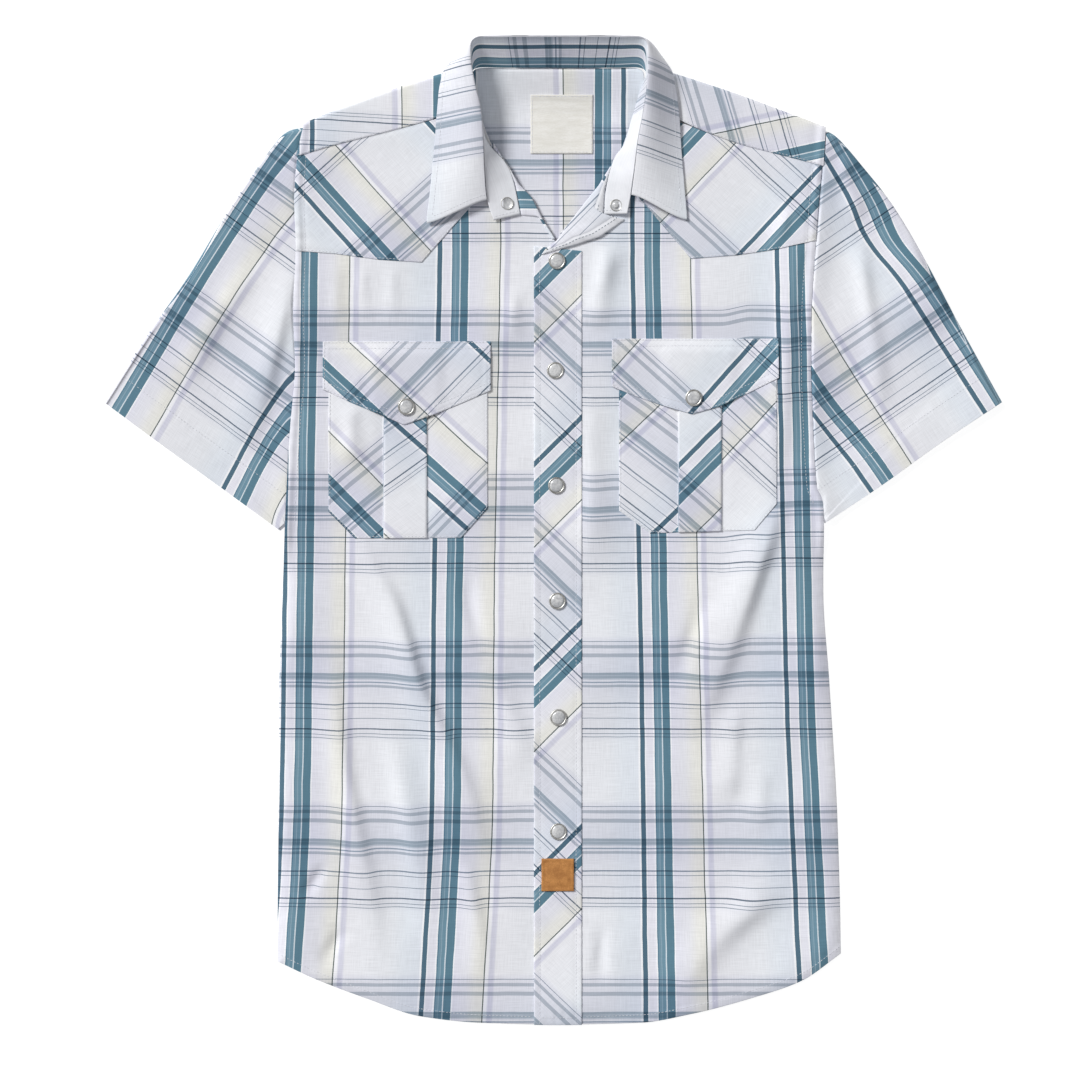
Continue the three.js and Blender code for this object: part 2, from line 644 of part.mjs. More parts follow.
// Back yoke: over each shoulder to the front seam, and up a slope to the neck seam between
function buildBackYoke() {
  const steps = (YOKE_COLUMNS.length - 1) * 2;
  const start = through(YOKE_COLUMNS, ["x", "y", "z"]);
  const fold = through(YOKE_COLUMNS, ["foldX", "foldY", "slope"]);
  const end = through(YOKE_COLUMNS, ["lowX"]);
  const lastRow = NECK_SLOPE.length - 1;
  const point = (u, v, i, j) => {
    const from = start(u);
    const over = fold(u);
    const slope = clamp(over.z, 0, 1);
    const low = end(u).x;
    const height = frontHeight(over.x, over.y - FOLD_INSET) + STACK;
    const radius = height / 2;
    const fromZ = slope > 0 ? Math.max(from.z, height * (1 - slope * 2)) : height;
    const folded = new THREE.Vector3();
    const turn = j - ROWS_BEFORE;
    const after = turn - TURN_SINES.length + 1;
    if (turn < 0) {
      const inwards = over.y - radius;
      const t = j / ROWS_BEFORE;
      folded.set(lerp(from.x, over.x, t), lerp(from.y, inwards, t), lerp(fromZ, height, t));
    } else if (after <= 0) {
      const sine = TURN_SINES[turn];
      const reach = Math.sqrt(Math.max(1 - sine * sine, 0));
      folded.set(over.x, over.y - radius + radius * reach, radius + radius * sine);
    } else {
      const t = after / ROWS_AFTER;
      folded.set(lerp(over.x, low, t), lerp(over.y - radius, BACK_SEAM, t), 0);
    }
    const row = NECK_SLOPE[lastRow - j];
    const neckY = j === 0 ? from.y : Math.min(row.y, from.y - ROW_DROP * j);
    const neckX = lerp(from.x, low, j / lastRow);
    folded.lerp(new THREE.Vector3(neckX, neckY, j === 0 ? from.z : row.z), slope);
    if (after > -2) {
      const least = read(SIDES, "y", "armLeft", folded.y) + BUTT;
      const most = read(SIDES, "y", "armRight", folded.y) - BUTT;
      folded.x = clamp(folded.x, least, most);
    }
    return folded;
  };
  const outer = grid(point, steps, lastRow);
  add("back_yoke", solid(outer, offset(outer, -1)), POPLIN);
}

// Sleeve: a flattened tube from the armhole to the cuff, folded along its upper edge
function buildSleeve(side) {
  const columns = [`${side}X`, `${side}Y`];
  const at = (x, y) => new THREE.Vector3(x, y, 0);
  const outerFold = through(SLEEVE_FOLD, columns);
  const cuff = through(CUFF, columns);
  const underarm = broken(UNDERARM, columns);
  const armColumn = side === "left" ? "armLeft" : "armRight";
  const root = (t) => {
    const y = lerp(outerFold(0).y, underarm(0).y, t);
    if (t === 0) return outerFold(0).setZ(0);
    if (t === 1) return underarm(0).setZ(0);
    return at(read(SIDES, "y", armColumn, y), y);
  };
  const flat = (curve) => (t) => curve(t).setZ(0);
  const plan = patch(root, flat(cuff), flat(outerFold), flat(underarm));
  const around = [];
  for (let i = 0; i <= SLEEVE_FLAT; i++) around.push({ t: i / SLEEVE_FLAT, angle: 90 });
  for (let i = 1; i <= FOLD_STEPS; i++) {
    around.push({ t: 1, angle: 90 - (180 * i) / (FOLD_STEPS + 1) });
  }
  for (let i = SLEEVE_FLAT; i >= 0; i--) around.push({ t: i / SLEEVE_FLAT, angle: -90 });
  for (let i = 1; i <= FOLD_STEPS; i++) {
    around.push({ t: 0, angle: -90 + (180 * i) / (FOLD_STEPS + 1) });
  }
  const outer = [];
  for (let j = 0; j <= SLEEVE_ALONG; j++) {
    const v = j / SLEEVE_ALONG;
    const width = plan(0, v).distanceTo(plan(1, v));
    outer.push(
      around.map(({ t, angle }) => {
        const swell = v * (1 - smoothstep(t, 0.3, 0.8));
        const radius = lerp(SLEEVE_HEIGHT, CUFF_HEIGHT, swell) / 2;
        const sine = Math.sin(THREE.MathUtils.degToRad(angle));
        const cosine = Math.abs(Math.cos(THREE.MathUtils.degToRad(angle)));
        const inset = radius * (1 - cosine);
        const place = clamp(t * width, inset, width - inset) / width;
        return plan(place, v).setZ(radius + radius * sine);
      }),
    );
  }
  const inwards = side === "left" ? 1 : -1;
  add(`sleeve_${side}`, solid(outer, offset(outer, inwards, true), true), POPLIN);
}

// Collar stand from the neck seam to the roll, and the leaf from the roll to its free edge
function buildCollar() {
  const seam = through(COLLAR, ["seamX", "seamY", "seamZ"]);
  const roll = through(COLLAR, ["rollX", "rollY", "rollZ"]);
  const edge = through(COLLAR, ["edgeX", "edgeY", "edgeZ"]);
  const bend = through(COLLAR, ["bow", "lift", "tuck"]);
  const hang = through(COLLAR, ["hang"]);
  const stations = COLLAR.length - 1;
  const standPoint = (u, v) => seam(u).lerp(roll(u), v);
  const stand = grid(standPoint, stations * STATION_STEPS, 3);
  add("collar_stand", solid(stand, offset(stand, -1)), POPLIN);
  const standTop = (x, y) => {
    const near = stand.flat().filter((p) => Math.hypot(p.x - x, p.y - y) < 2 * SNAP_RADIUS);
    return Math.max(...near.map((p) => p.z));
  };

  const leafPoint = (u, v) => {
    const t = lerp(1 / stations, 1 - 1 / stations, u);
    const ahead = roll(t + 0.01).sub(roll(t - 0.01));
    const out = new THREE.Vector3(-ahead.y, ahead.x, 0).normalize();
    const { x: bow, y: lift, z: tuck } = bend(t);
    const first = roll(t).addScaledVector(out, 0.4);
    first.z += STACK + SEAM;
    const second = roll(t).addScaledVector(out, bow);
    second.z += STACK + lift;
    const last = edge(t);
    const third = edge(t).addScaledVector(out, -tuck);
    third.z += hang(t).x;
    const curve = new THREE.CubicBezierCurve3(first, second, third, last);
    return curve.getPoint(v);
  };
  const leaf = grid(leafPoint, (stations - 2) * STATION_STEPS, 7);
  add("collar_leaf", solid(leaf, offset(leaf, -1)), POPLIN);
  return standTop;
}

// Pearl snap cap with a raised metal rim, turned about its axis
function buildSnap(name, x, y, seat) {
  const profile = [
    [0, 0],
    [SNAP_RADIUS, 0],
    [SNAP_RADIUS, SNAP_RIM],
    [SNAP_RADIUS - 1.2, SNAP_RIM + 0.5],
    [SNAP_RADIUS - 3.4, SNAP_HEIGHT - 0.2],
    [0, SNAP_HEIGHT],
  ].map(([radius, z]) => new THREE.Vector2(radius, z));
  const geometry = new THREE.LatheGeometry(profile, SNAP_SIDES);
  geometry.rotateX(Math.PI / 2);
  geometry.translate(x, y, seat);
  add(name, geometry, PEARL);
}

// Highest place under a round foot, with the gap that the foot keeps
function seatOf(height, x, y, radius) {
  let top = height(x, y);
  for (let k = 0; k < 8; k++) {
    const angle = (Math.PI * k) / 4;
    top = Math.max(top, height(x + radius * Math.cos(angle), y + radius * Math.sin(angle)));
  }
  return top + SEAM;
}

function buildSnaps(flapHeights, standTop) {
  const placketTop = (x, y) => frontHeight(x, y) + STACK;
  const carriers = { placket: placketTop, left: flapHeights[0], right: flapHeights[1] };
  for (const { name, x, y, on } of SNAPS) {
    const seat = on === "stand" ? standTop(x, y) + SEAM : seatOf(carriers[on], x, y, SNAP_RADIUS);
    buildSnap(name, x, y, seat);
  }
}

// Small leather patch near the foot of the placket
function buildLeatherPatch() {
  const plan = (u, v) => {
    return new THREE.Vector3(lerp(PATCH.x1, PATCH.x2, u), lerp(PATCH.y1, PATCH.y2, v), 0);
  };
  layer("leather_patch", plan, 2, 2, () => 2, LEATHER);
}

// Neck label on the inside of the back yoke
function buildLabel() {
  const rise = (y) => straight(NECK_SLOPE, "y", "z", y) + WALL;
  const stops = [LABEL.y1, ...LABEL_BENDS, LABEL.y2];
  const point = (u, v, i, j) => {
    const x = lerp(LABEL.x1, LABEL.x2, u);
    return new THREE.Vector3(x, stops[j], rise(stops[j]) + LABEL_GAP);
  };
  const lower = grid(point, 2, stops.length - 1);
  const upper = lower.map((row) => row.map((p) => p.clone().setZ(p.z + WALL)));
  add("neck_label", solid(upper, lower), TAPE);
}

buildBack();
buildBackYoke();
for (const side of ["left", "right"]) {
  buildFront(side);
  buildFrontYoke(side, side === "left" ? YOKE_LEFT : YOKE_RIGHT);
  buildLapel(side, side === "left" ? LAPEL_LEFT : LAPEL_RIGHT);
  buildSleeve(side);
}
buildPlacket();
buildSnaps(POCKETS.map(buildPocket), buildCollar());
buildLeatherPatch();
buildLabel();

export default shirt;
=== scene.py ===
"""Western snap shirt laid flat: cloth, sewing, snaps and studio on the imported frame.

Shapes are worked out in millimetres with numpy and put into meshes in metres. Left and right are
as seen from above, with the collar away from the viewer.
"""

import logging
from dataclasses import dataclass, field
from enum import Enum
from typing import Sequence

import bpy
import numpy as np
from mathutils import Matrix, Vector


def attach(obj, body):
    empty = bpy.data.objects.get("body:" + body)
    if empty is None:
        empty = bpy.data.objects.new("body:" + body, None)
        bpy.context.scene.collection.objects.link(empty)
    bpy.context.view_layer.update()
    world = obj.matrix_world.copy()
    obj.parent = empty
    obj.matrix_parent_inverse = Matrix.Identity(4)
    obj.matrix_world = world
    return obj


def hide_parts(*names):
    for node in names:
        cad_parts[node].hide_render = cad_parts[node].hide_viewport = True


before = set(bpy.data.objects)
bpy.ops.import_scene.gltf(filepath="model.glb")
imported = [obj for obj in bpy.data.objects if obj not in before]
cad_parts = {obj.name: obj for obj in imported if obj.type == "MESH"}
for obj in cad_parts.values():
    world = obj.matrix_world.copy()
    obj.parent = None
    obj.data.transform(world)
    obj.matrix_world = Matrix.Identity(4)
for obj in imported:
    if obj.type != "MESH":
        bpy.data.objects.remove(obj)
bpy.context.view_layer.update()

Array = np.ndarray
Table = dict[str, Array]
Socket = bpy.types.NodeSocket
MM = 0.001

# Cloth, in millimetres
CLOTH = 0.5  # thickness of one poplin layer as drawn
LAYER = 1.0  # rise from one sewn-on piece to the next, with its turned edge
FRONT_LIFT = 4.0  # outer face of the fronts above the surface
REST_EDGE = 1.3  # height to which the fronts sink at side seams and hem
SIDE_WIDTH = 11.0
HEM_WIDTH = 16.0
HEM_FOLD = 6.4  # width of the turned hem
ARM_RISE = 1.6
ARM_WIDTH = 46.0
ARM_STITCH = 8.0
ARMPIT_SOFT = 32.0
NECK_RISE = 2.4
NECK_SPREAD = 50.0
NECK_POINT = (66.0, 345.0)
BACK_SEAM = 200.0
PLACKET_HALF = 18.7
LAPEL_BAND = 9.5
CREASE_DEPTH = 1.9
EDGE_STEPS = np.array([0.0, 0.25, 0.6, 1.1, 1.8, 2.7, 3.7, 4.9, 6.4, 8.2])

# Plaid: one repeat of the stripes along the cloth (warp) and across it (weft)
WARP_REPEAT = 117.0
WEFT_REPEAT = 129.5
WARP_START = 8.0  # the warp charts start this far before the thin dark stripe
WEFT_START = 4.0


def table(text: str) -> Table:
    """Read a short table: a line of column names, then a line for each row of numbers."""
    lines = text.strip().splitlines()
    rows = np.array([line.split() for line in lines[1:]], dtype=float)
    return dict(zip(lines[0].split(), rows.T))


def smooth(value: Array, low: float, high: float) -> Array:
    """Rise from 0 at low to 1 at high along 3t^2 - 2t^3."""
    t = np.clip((value - low) / (high - low), 0.0, 1.0)
    return t * t * (3.0 - 2.0 * t)


def bell(value: Array, reach: float) -> Array:
    """Fall from 1 at 0 along exp(-(value / reach)^2)."""
    return np.exp(-((value / reach) ** 2))


def mix(a: Array, b: Array, t: Array) -> Array:
    """The value t of the way from a to b."""
    return a + (b - a) * t


def through(points: Array, t: Array) -> Array:
    """Points at t, from 0 to 1, on the uniform Catmull-Rom curve through the given points.

    Tangents are half the chord from the point before to the point after; at the ends the curve
    goes on as far as the last stretch.
    """
    first = 2 * points[:1] - points[1:2]
    last = 2 * points[-1:] - points[-2:-1]
    padded = np.concatenate([first, points, last])
    place = np.clip(t, 0, 1) * (len(points) - 1)
    i = np.minimum(place.astype(int), len(points) - 2)
    w = (place - i)[..., None]
    a, b, c, d = (padded[i + k] for k in range(4))
    into = (c - a) / 2
    out = (d - b) / 2
    cubic = 2 * b - 2 * c + into + out
    square = -3 * b + 3 * c - 2 * into - out
    return ((cubic * w + square) * w + into) * w + b


@dataclass(frozen=True)
class Crease:
    """A soft ridge along a given line, or a trough where its height is below 0."""

    height: float
    west: float
    east: float
    line: Array

    def rise(self, x: Array, y: Array) -> Array:
        """Height added at places: a bell of the distance to the line, wider on one flank.

        The line is cut into short stretches and the nearest one counts. The height fades over
        the first and last third of the run and, like the reach, wavers along it.

        Args:
            x: places across.
            y: places along.

        Returns:
            The height in mm at each place.
        """
        track = through(self.line, np.linspace(0, 1, 6 * len(self.line)))
        reach = 2.6 * max(self.west, self.east)
        low = track.min(axis=0) - reach
        high = track.max(axis=0) + reach
        near = (x > low[0]) & (x < high[0]) & (y > low[1]) & (y < high[1])
        total = np.zeros_like(x)
        run = np.diff(track, axis=0)
        length = np.linalg.norm(run, axis=-1)
        ahead = np.concatenate([[0], np.cumsum(length)])[:-1]
        dx = x[near][:, None] - track[:-1, 0]
        dy = y[near][:, None] - track[:-1, 1]
        t = np.clip((dx * run[:, 0] + dy * run[:, 1]) / length**2, 0, 1)
        gap = np.hypot(dx - t * run[:, 0], dy - t * run[:, 1])
        turn = run[:, 0] * dy - run[:, 1] * dx
        place = (ahead + t * length) / length.sum()
        rows = np.arange(len(gap))
        nearest = gap.argmin(axis=1)
        gap, turn, place = gap[rows, nearest], turn[rows, nearest], place[rows, nearest]
        flank = np.where(turn > 0, self.east, self.west) * (0.92 + 0.16 * np.cos(8 * place))
        fade = smooth(place, 0, 0.3) * (1 - smooth(place, 0.7, 1))
        uneven = 0.9 + 0.18 * np.sin(10 * place + self.line[0, 0])
        total[near] = CREASE_DEPTH * self.height * fade * uneven * bell(gap, flank)
        return total


def creases(text: str) -> list[Crease]:
    """Read creases, one a line: height, reach to the west and east, then points from the top."""
    rows = [np.array(line.split(), dtype=float) for line in text.strip().splitlines()]
    return [Crease(row[0], row[1], row[2], row[3:].reshape(-1, 2)) for row in rows]


# Side edges of the front as seen, and the armhole line under which the sleeve root lies
SIDES = table("""
y left right armLeft armRight
-386 -218.6 221.0 -200 200
-330 -219.0 220.8 -200 200
-230 -218.2 218.4 -200 200
-120 -217.6 212.0 -200 200
-45 -214.8 207.2 -201 199
2 -213.0 207.4 -203 197
22 -212.2 206.6 -205 195.5
34 -211.6 201.8 -205 195
80 -208.8 199.0 -203 193.5
130 -205.0 197.4 -199.5 192.4
170 -206.4 197.8 -200.5 192.8
220 -204.4 200.8 -199.2 195.6
257 -205.6 203.6 -200.4 198.4
290 -203.4 206.6 -197.6 201.6
316 -199.0 209.0 -194.0 204.0
""")
HEM = table("""
x y
-219 -336.6
-190 -350.2
-150 -365.4
-107 -379.6
-60 -384.6
0 -386
64 -384.6
105 -377.6
153 -364.9
190 -352.0
221 -330.4
""")
OPENING = table("""
y left right
-386 8 10
200 8 10
226 -2.6 -0.3
241 -11.6 10.0
259 -22.0 24.2
270 -33.0 33.0
288 -43.4 45.5
302 -52.4 51.4
318 -58.6 57.0
331 -62.6 61.6
""")
SHOULDER_SEAM = table("""
x y
-204 291.8
-172 301.6
-140 309.6
-98 320.2
-62 329.8
61 330.2
96 318.0
142 301.4
176 292.4
206 284.6
""")
YOKE_EDGE = {
    "left": table("""
x y topX
-204.4 217.5 -203.4
-174 215.4 -178
-140 210.8 -146
-106.4 208.7 -113
-84 234.2 -86
-62 259.0 -64.5
"""),
    "right": table("""
x y topX
200.8 225.8 206.2
170.8 219.0 178
138 214.2 146
103.7 211.5 112
83 236.0 86
60.5 262.4 63.5
"""),
}
LAPEL = {
    "left": table("""
outX outY inX inY
-52.6 299.4 -50.6 302.0
-39.8 286.0 -38.6 283.6
-33.6 270.6 -30.6 270.0
-28.6 245.4 -20.6 259.6
-15.4 244.6 -11.6 242.0
-4.4 226.6 -2.4 227.4
"""),
    "right": table("""
outX outY inX inY
43.2 288.8 45.2 291.0
36.6 265.2 31.4 268.4
35.2 245.0 22.0 257.0
52.6 242.2 16.0 249.0
32.8 228.6 7.4 237.8
13.3 222.2 -0.6 226.2
-13.0 214.6 -10.0 218.8
"""),
}
POCKET_LOW = {
    "left": table("x low\n-178.9 14.2\n-158.3 -6.6\n-75.5 -6.2\n-54.8 17.0"),
    "right": table("x low\n47.7 15.0\n71.9 -2.6\n153.1 -0.2\n170.6 20.5"),
}
FLAP_LOW = {
    "left": table("""
x low
-183.4 109.7
-161.5 99.3
-137.6 89.6
-120.1 81.9
-97.7 89.6
-75.0 98.8
-52.4 108.8
"""),
    "right": table("""
x low
42.0 111.8
60.0 104.4
79.9 97.4
104.5 90.2
126.0 96.4
149.0 107.0
172.0 118.4
"""),
}
PLEAT = {"left": (-135.7, -102.2), "right": (94.2, 127.6)}
FLAP_TOP = {"left": 147.1, "right": 149.2}
POCKET_TOP = 134.0
PLEAT_RISE = 1.2

FRONT_CREASES = creases("""
3.0 20 6.5 -166.1 7.8 -145.1 -29.6 -129.5 -54.6 -117.8 -87.4 -106.9 -124.8 -84.2 -170 -70.6 -204.4 -62 -240 -57 -262
2.2 16 8 -179.4 -85.8 -173.9 -132.6 -166.1 -187.2 -156 -241.8 -146.6 -288.6 -140.4 -351
2.0 12 16 -134.9 -124.8 -124.8 -179.4 -113.9 -234 -103.7 -288.6 -99.8 -343.2
-1.5 5 5 -179.4 -259 -191.9 -276.9 -199.7 -290.2
-1.2 6 6 -166.1 -308.1 -185.6 -343.2
-1.2 7 7 -71.8 -23.4 -68.6 -54.6 -60.8 -85.8 -46.8 -107.6
1.6 14 12 -60.8 -101.4 -45.2 -124.8 -33.5 -156 -23.4 -195
1.6 12 8 -78 -241.8 -70.2 -273 -62.4 -312 -60.8 -358.8
1.8 12 9 178.6 245.7 180.2 179.4 176.3 117 170.8 62.4 162.2 11.7
3.4 24 9 173.9 46.8 167.7 11.7 161.5 -11.7 154.4 -32.8 146.6 -56.2 134.9 -87.4 123.2 -113.9 110.8 -142 95.2 -159.9
-1.2 8 8 115.4 -45.2 103 -85.8 90.5 -126.4
1.2 14 7 138.1 -132.6 136.5 -179.4 127.9 -218.4
0.9 12 8 159.1 -179.4 157.6 -241.8
2.4 20 12 181 -273 145.9 -300.3 120.1 -323.7 103 -343.2 88.9 -366.6
-1.0 6 6 34.3 -304 32.8 -359
1.4 8 14 26.5 113 26.5 39 26.5 -39
0.6 6 6 -174 212 -172 156
0.6 6 6 -153 212 -151 156
0.6 6 6 -129.5 210 -129 160
1.0 7 7 -35 191 -34 144
2.2 10 10 42.1 230 34.3 187 28.1 152
1.2 6 6 184.9 253.5 174.7 237.9 166.9 222.3
1.4 9 8 -162.2 101.4 -160.7 46.8
""")
SLEEVE_CREASES = {
    "left": creases("""
2.2 18 8 -210.6 209 -216.1 163.8 -226.2 120.9 -238.7 81.9 -248 54.6
2.0 14 9 -230.9 214.5 -249.6 187.2 -269.9 157.6 -285.5 128.7 -296.4 101.4
"""),
    "right": creases("""
2.0 9 8 231.7 241.8 237.1 202.8 244.9 156 249.6 113.1 252.7 81.9
2.2 7 6 219 300 228 268 238 240
1.8 22 16 270.7 230.1 286.3 187.2 298 148.2
"""),
}
SLEEVE_FOLD = {
    "left": table("""
x y
-194.6 314.6
-211.4 310.6
-225.6 295.2
-255.6 251.9
-288.4 198.0
-321.4 150.8
-354.1 99.8
"""),
    "right": table("""
x y
204.6 312.4
217.6 306.6
238.8 282.4
260.9 254.0
283.4 216.6
315.4 156.0
346.5 99.8
"""),
}
CUFF = {
    "left": table("x y\n-354.1 99.8\n-308 65.8\n-262.2 32.6\n-216.6 -0.6"),
    "right": table("x y\n346.5 99.8\n299.6 68.6\n253.4 35.4\n208.2 5.2"),
}
UNDERARM = {
    "left": table("x y\n-204.6 9.6\n-216.6 -0.6"),
    "right": table("x y\n196.6 22.0\n208.2 5.2"),
}
YOKE_COLUMNS = table("""
x y z foldX foldY lowX slope
-204.2 292.3 0 -198.6 317.4 -198.0 0
-172.0 302.1 0 -172.0 328.4 -172 0
-140.0 310.1 0 -140.0 340.2 -142 0
-110.0 318.0 0 -112.0 349.6 -114 0
-84.0 325.6 0 -92.0 355.8 -92 0
-63.2 331.4 0 -81.0 358.6 -82 0
-65.2 342.0 6.9 -76.0 360.2 -76 0.4
-67.4 352.8 7.6 -71.0 361.0 -70 0.8
-62.0 359.6 8.2 -66.0 361.0 -62 1
-36.0 359.6 8.2 -36.0 361.0 -37 1
0 359.6 8.2 0 361.0 0 1
36.0 359.6 8.2 36.0 361.0 37 1
62.0 359.6 8.2 66.0 361.0 62 1
67.4 352.8 7.6 71.0 361.0 70 0.8
65.2 342.0 6.9 76.0 360.2 76 0.4
63.2 331.4 0 81.0 358.6 82 0
84.0 325.6 0 92.0 355.8 92 0
110.0 314.0 0 112.0 349.6 114 0
140.0 302.8 0 140.0 340.2 142 0
172.0 294.2 0 172.0 328.4 172 0
207.0 285.0 0 208.6 314.6 194.6 0
""")
NECK_SLOPE = table("""
y z
200 0
325 0
334 0.9
342 3.0
350 5.6
355 7.1
359.6 8.2
""")
COLLAR = table("""
seamX seamY seamZ rollX rollY rollZ edgeX edgeY edgeZ bow lift tuck hang
-29.4 246.0 5.7 -50.0 241.2 7.6 -100 224 9.8 10 1 12 1
-34.4 270.9 5.8 -54.8 256.8 9.0 -102.4 238.9 8.0 12 3.0 14 2
-41.0 286.6 6.1 -56.8 281.0 14.0 -99.6 266 7.8 12 3.0 14 3
-54.0 301.4 6.9 -57.6 303.0 18.0 -96.4 300 8.0 11 3.0 13 4
-61.4 320.0 7.6 -59.6 327.0 21.0 -94.2 328 9.2 8 3.4 12 6
-65.8 342.0 8.9 -64.0 346.0 25.0 -92.2 346.6 9.8 5 2.0 10 8
-67.8 354.0 9.3 -67.0 366.0 27.0 -87.0 361.4 8.4 5 2.0 4 9
-62.0 359.6 9.8 -64.4 379.8 28.0 -72.0 372.4 2.4 3 1.0 -6 6
-40.0 359.6 9.8 -44.0 381.8 28.0 -46.0 363.0 0.7 0.6 1.0 -20 1
0.8 359.6 9.8 0.8 382.0 28.0 0.8 358.0 0.7 0.6 1.0 -24 1
41.6 359.6 9.8 45.6 381.8 28.0 47.6 363.0 0.7 0.6 1.0 -20 1
63.6 359.6 9.8 66.0 379.8 28.0 73.6 372.0 2.4 3 1.0 -6 6
68.4 354.0 9.3 68.8 366.0 27.0 87.4 360.6 8.4 5 2.0 4 9
63.6 342.0 8.9 68.4 346.0 25.0 91.6 345.4 9.8 5 2.0 10 8
57.0 320.0 7.6 65.6 324.0 21.0 94.6 324 9.2 8 3.4 12 6
51.6 301.4 6.9 61.8 303.0 18.0 96.2 299 8.0 11 3.0 13 4
43.4 289.0 6.1 59.2 281.0 14.0 98.6 268 7.8 12 3.0 14 3
37.4 265.4 5.8 56.6 260.8 9.0 100.6 241.8 8.0 12 3.0 14 2
36.0 246.0 5.7 53.9 246.4 8.2 98 226 10.2 10 1 12 1
""")

# Where the stripes of the fronts lie: centre of the wide stripe, and width of one repeat
STRIPE_LEAN = {
    "left": table("y centre repeat\n-386 -91.2 118.5\n-210 -82.2 117.4\n-70 -81.0 116.6\n210 -76.2 117.4"),
    "right": table("y centre repeat\n-386 85.2 121\n-70 79.6 112.6\n210 73.4 112.6"),
}
# Height of each start of a weft group, and its count down the front
WEFT_GROUPS = table("""
y group
-500 5.12
-350.2 4
-215.2 3
-86.6 2
43.7 1
171.6 0
300.3 -1
420 -1.94
""")


@dataclass(frozen=True)
class PlaidLay:
    """How the plaid lies on a piece: stripe place u and weft place s grow by these for each mm."""

    ux: float
    uy: float
    u0: float
    sx: float
    sy: float
    s0: float

    def at(self, x: Array, y: Array) -> Array:
        """Stripe and weft place of points: u = ux x + uy y + u0 and s = sx x + sy y + s0."""
        u = self.ux * x + self.uy * y + self.u0
        s = self.sx * x + self.sy * y + self.s0
        return np.stack([u, s], axis=-1)


LAYS = {
    "yoke_left": PlaidLay(0.797, 0.718, -29.7, 0.669, -0.743, 272.7),
    "yoke_right": PlaidLay(0.827, -0.775, 166.9, -0.7125, -0.777, 270.9),
    "flap_left": PlaidLay(0.743, 0.798, 51.2, 0.664, -0.654, 178.8),
    "flap_right": PlaidLay(0.771, -0.685, -17.2, -0.703, -0.7805, 158.5),
    "pocket_left_1": PlaidLay(0.7475, 0.741, 123.7, 0.56, -0.68, 126.0),
    "pocket_left_2": PlaidLay(0.663, 0.7465, 22.5, 0.58, -0.81, 175.2),
    "pocket_left_3": PlaidLay(0.648, 0.7245, 45.35, 0.7615, -0.740, 81.3),
    "pocket_right_1": PlaidLay(0.704, -0.735, -53.9, -0.577, -0.756, 117.6),
    "pocket_right_2": PlaidLay(0.714, -0.711, -31.2, -0.700, -0.800, 105.0),
    "pocket_right_3": PlaidLay(0.733, -0.681, -9.4, -0.678, -0.735, 209.0),
    "placket": PlaidLay(0.733, -0.733, 51.2, -0.682, -0.718, 128.3),
    "shoulder_left": PlaidLay(-1.0, 0.0, -74.4, 0.06, 1.0, -240.0),
    "shoulder_right": PlaidLay(-0.22, 1.0, -235.0, 1.0, 0.3, -200.0),
    "back": PlaidLay(-1.0, 0.0, 20.0, 0.0, -1.0, 300.0),
    "inside": PlaidLay(-1.0, 0.0, 51.4, 0.0, -1.0, 314.3),
    "lapel_left": PlaidLay(0.0, 0.95, -228.2, 1.0, 0.0, 120.0),
    "lapel_right": PlaidLay(0.7, 0.7, -100.0, 0.7, -0.7, 210.0),
    "lapel_band": PlaidLay(0.1, 0.1, 46.0, 0.1, 0.1, 74.0),
    "wing_left": PlaidLay(0.0, 0.0, 0.0, -0.155, 1.0, -301.65),
    "wing_back": PlaidLay(0.0, 0.0, 0.0, 0.1, 0.0, 102.0),
    "wing_right": PlaidLay(0.0, 0.0, 0.0, -0.32, -1.0, 517.88),
    "sleeve_left": PlaidLay(0.839, -0.545, 353.7, -0.587, -0.810, -12.6),
    "sleeve_right": PlaidLay(0.848, 0.530, -330.6, 0.564, -0.826, 0.6),
}


def read(rows: Table, key: str, column: str, value: Array) -> Array:
    """Read a column smoothly at places along the key column.

    A cubic between each two rows, with the harmonic mean of the neighbouring slopes as tangent at
    a row and a level tangent at a peak, so that it never overshoots.

    Args:
        rows: the table.
        key: name of the column that grows from row to row.
        column: name of the column to read.
        value: places along the key column.

    Returns:
        The column's values at those places.
    """
    x = rows[key]
    y = rows[column]
    i = np.clip(np.searchsorted(x, value, side="right") - 1, 0, len(x) - 2)
    slope = np.diff(y) / np.diff(x)
    tangent = np.concatenate([slope[:1], np.zeros(len(x) - 2), slope[-1:]])
    before = slope[:-1]
    after = slope[1:]
    same = before * after > 0
    total = np.where(same, before + after, 1.0)
    tangent[1:-1] = np.where(same, 2 * before * after / total, 0.0)
    span = x[i + 1] - x[i]
    t = np.clip((value - x[i]) / span, 0, 1)
    start = tangent[i] * span * t * (1 - t) ** 2
    end = tangent[i + 1] * span * t * t * (1 - t)
    return mix(y[i], y[i + 1], t * t * (3 - 2 * t)) + start - end


def pick(rows: Table, columns: str) -> Array:
    """The named columns as an array of points, a row each."""
    return np.stack([rows[name] for name in columns.split()], axis=-1)


def broken(points: Array, t: Array) -> Array:
    """Points at t, from 0 to 1, on the straight stretches between the given points."""
    place = np.clip(t, 0, 1) * (len(points) - 1)
    i = np.minimum(place.astype(int), len(points) - 2)
    w = (place - i)[..., None]
    return points[i] * (1 - w) + points[i + 1] * w


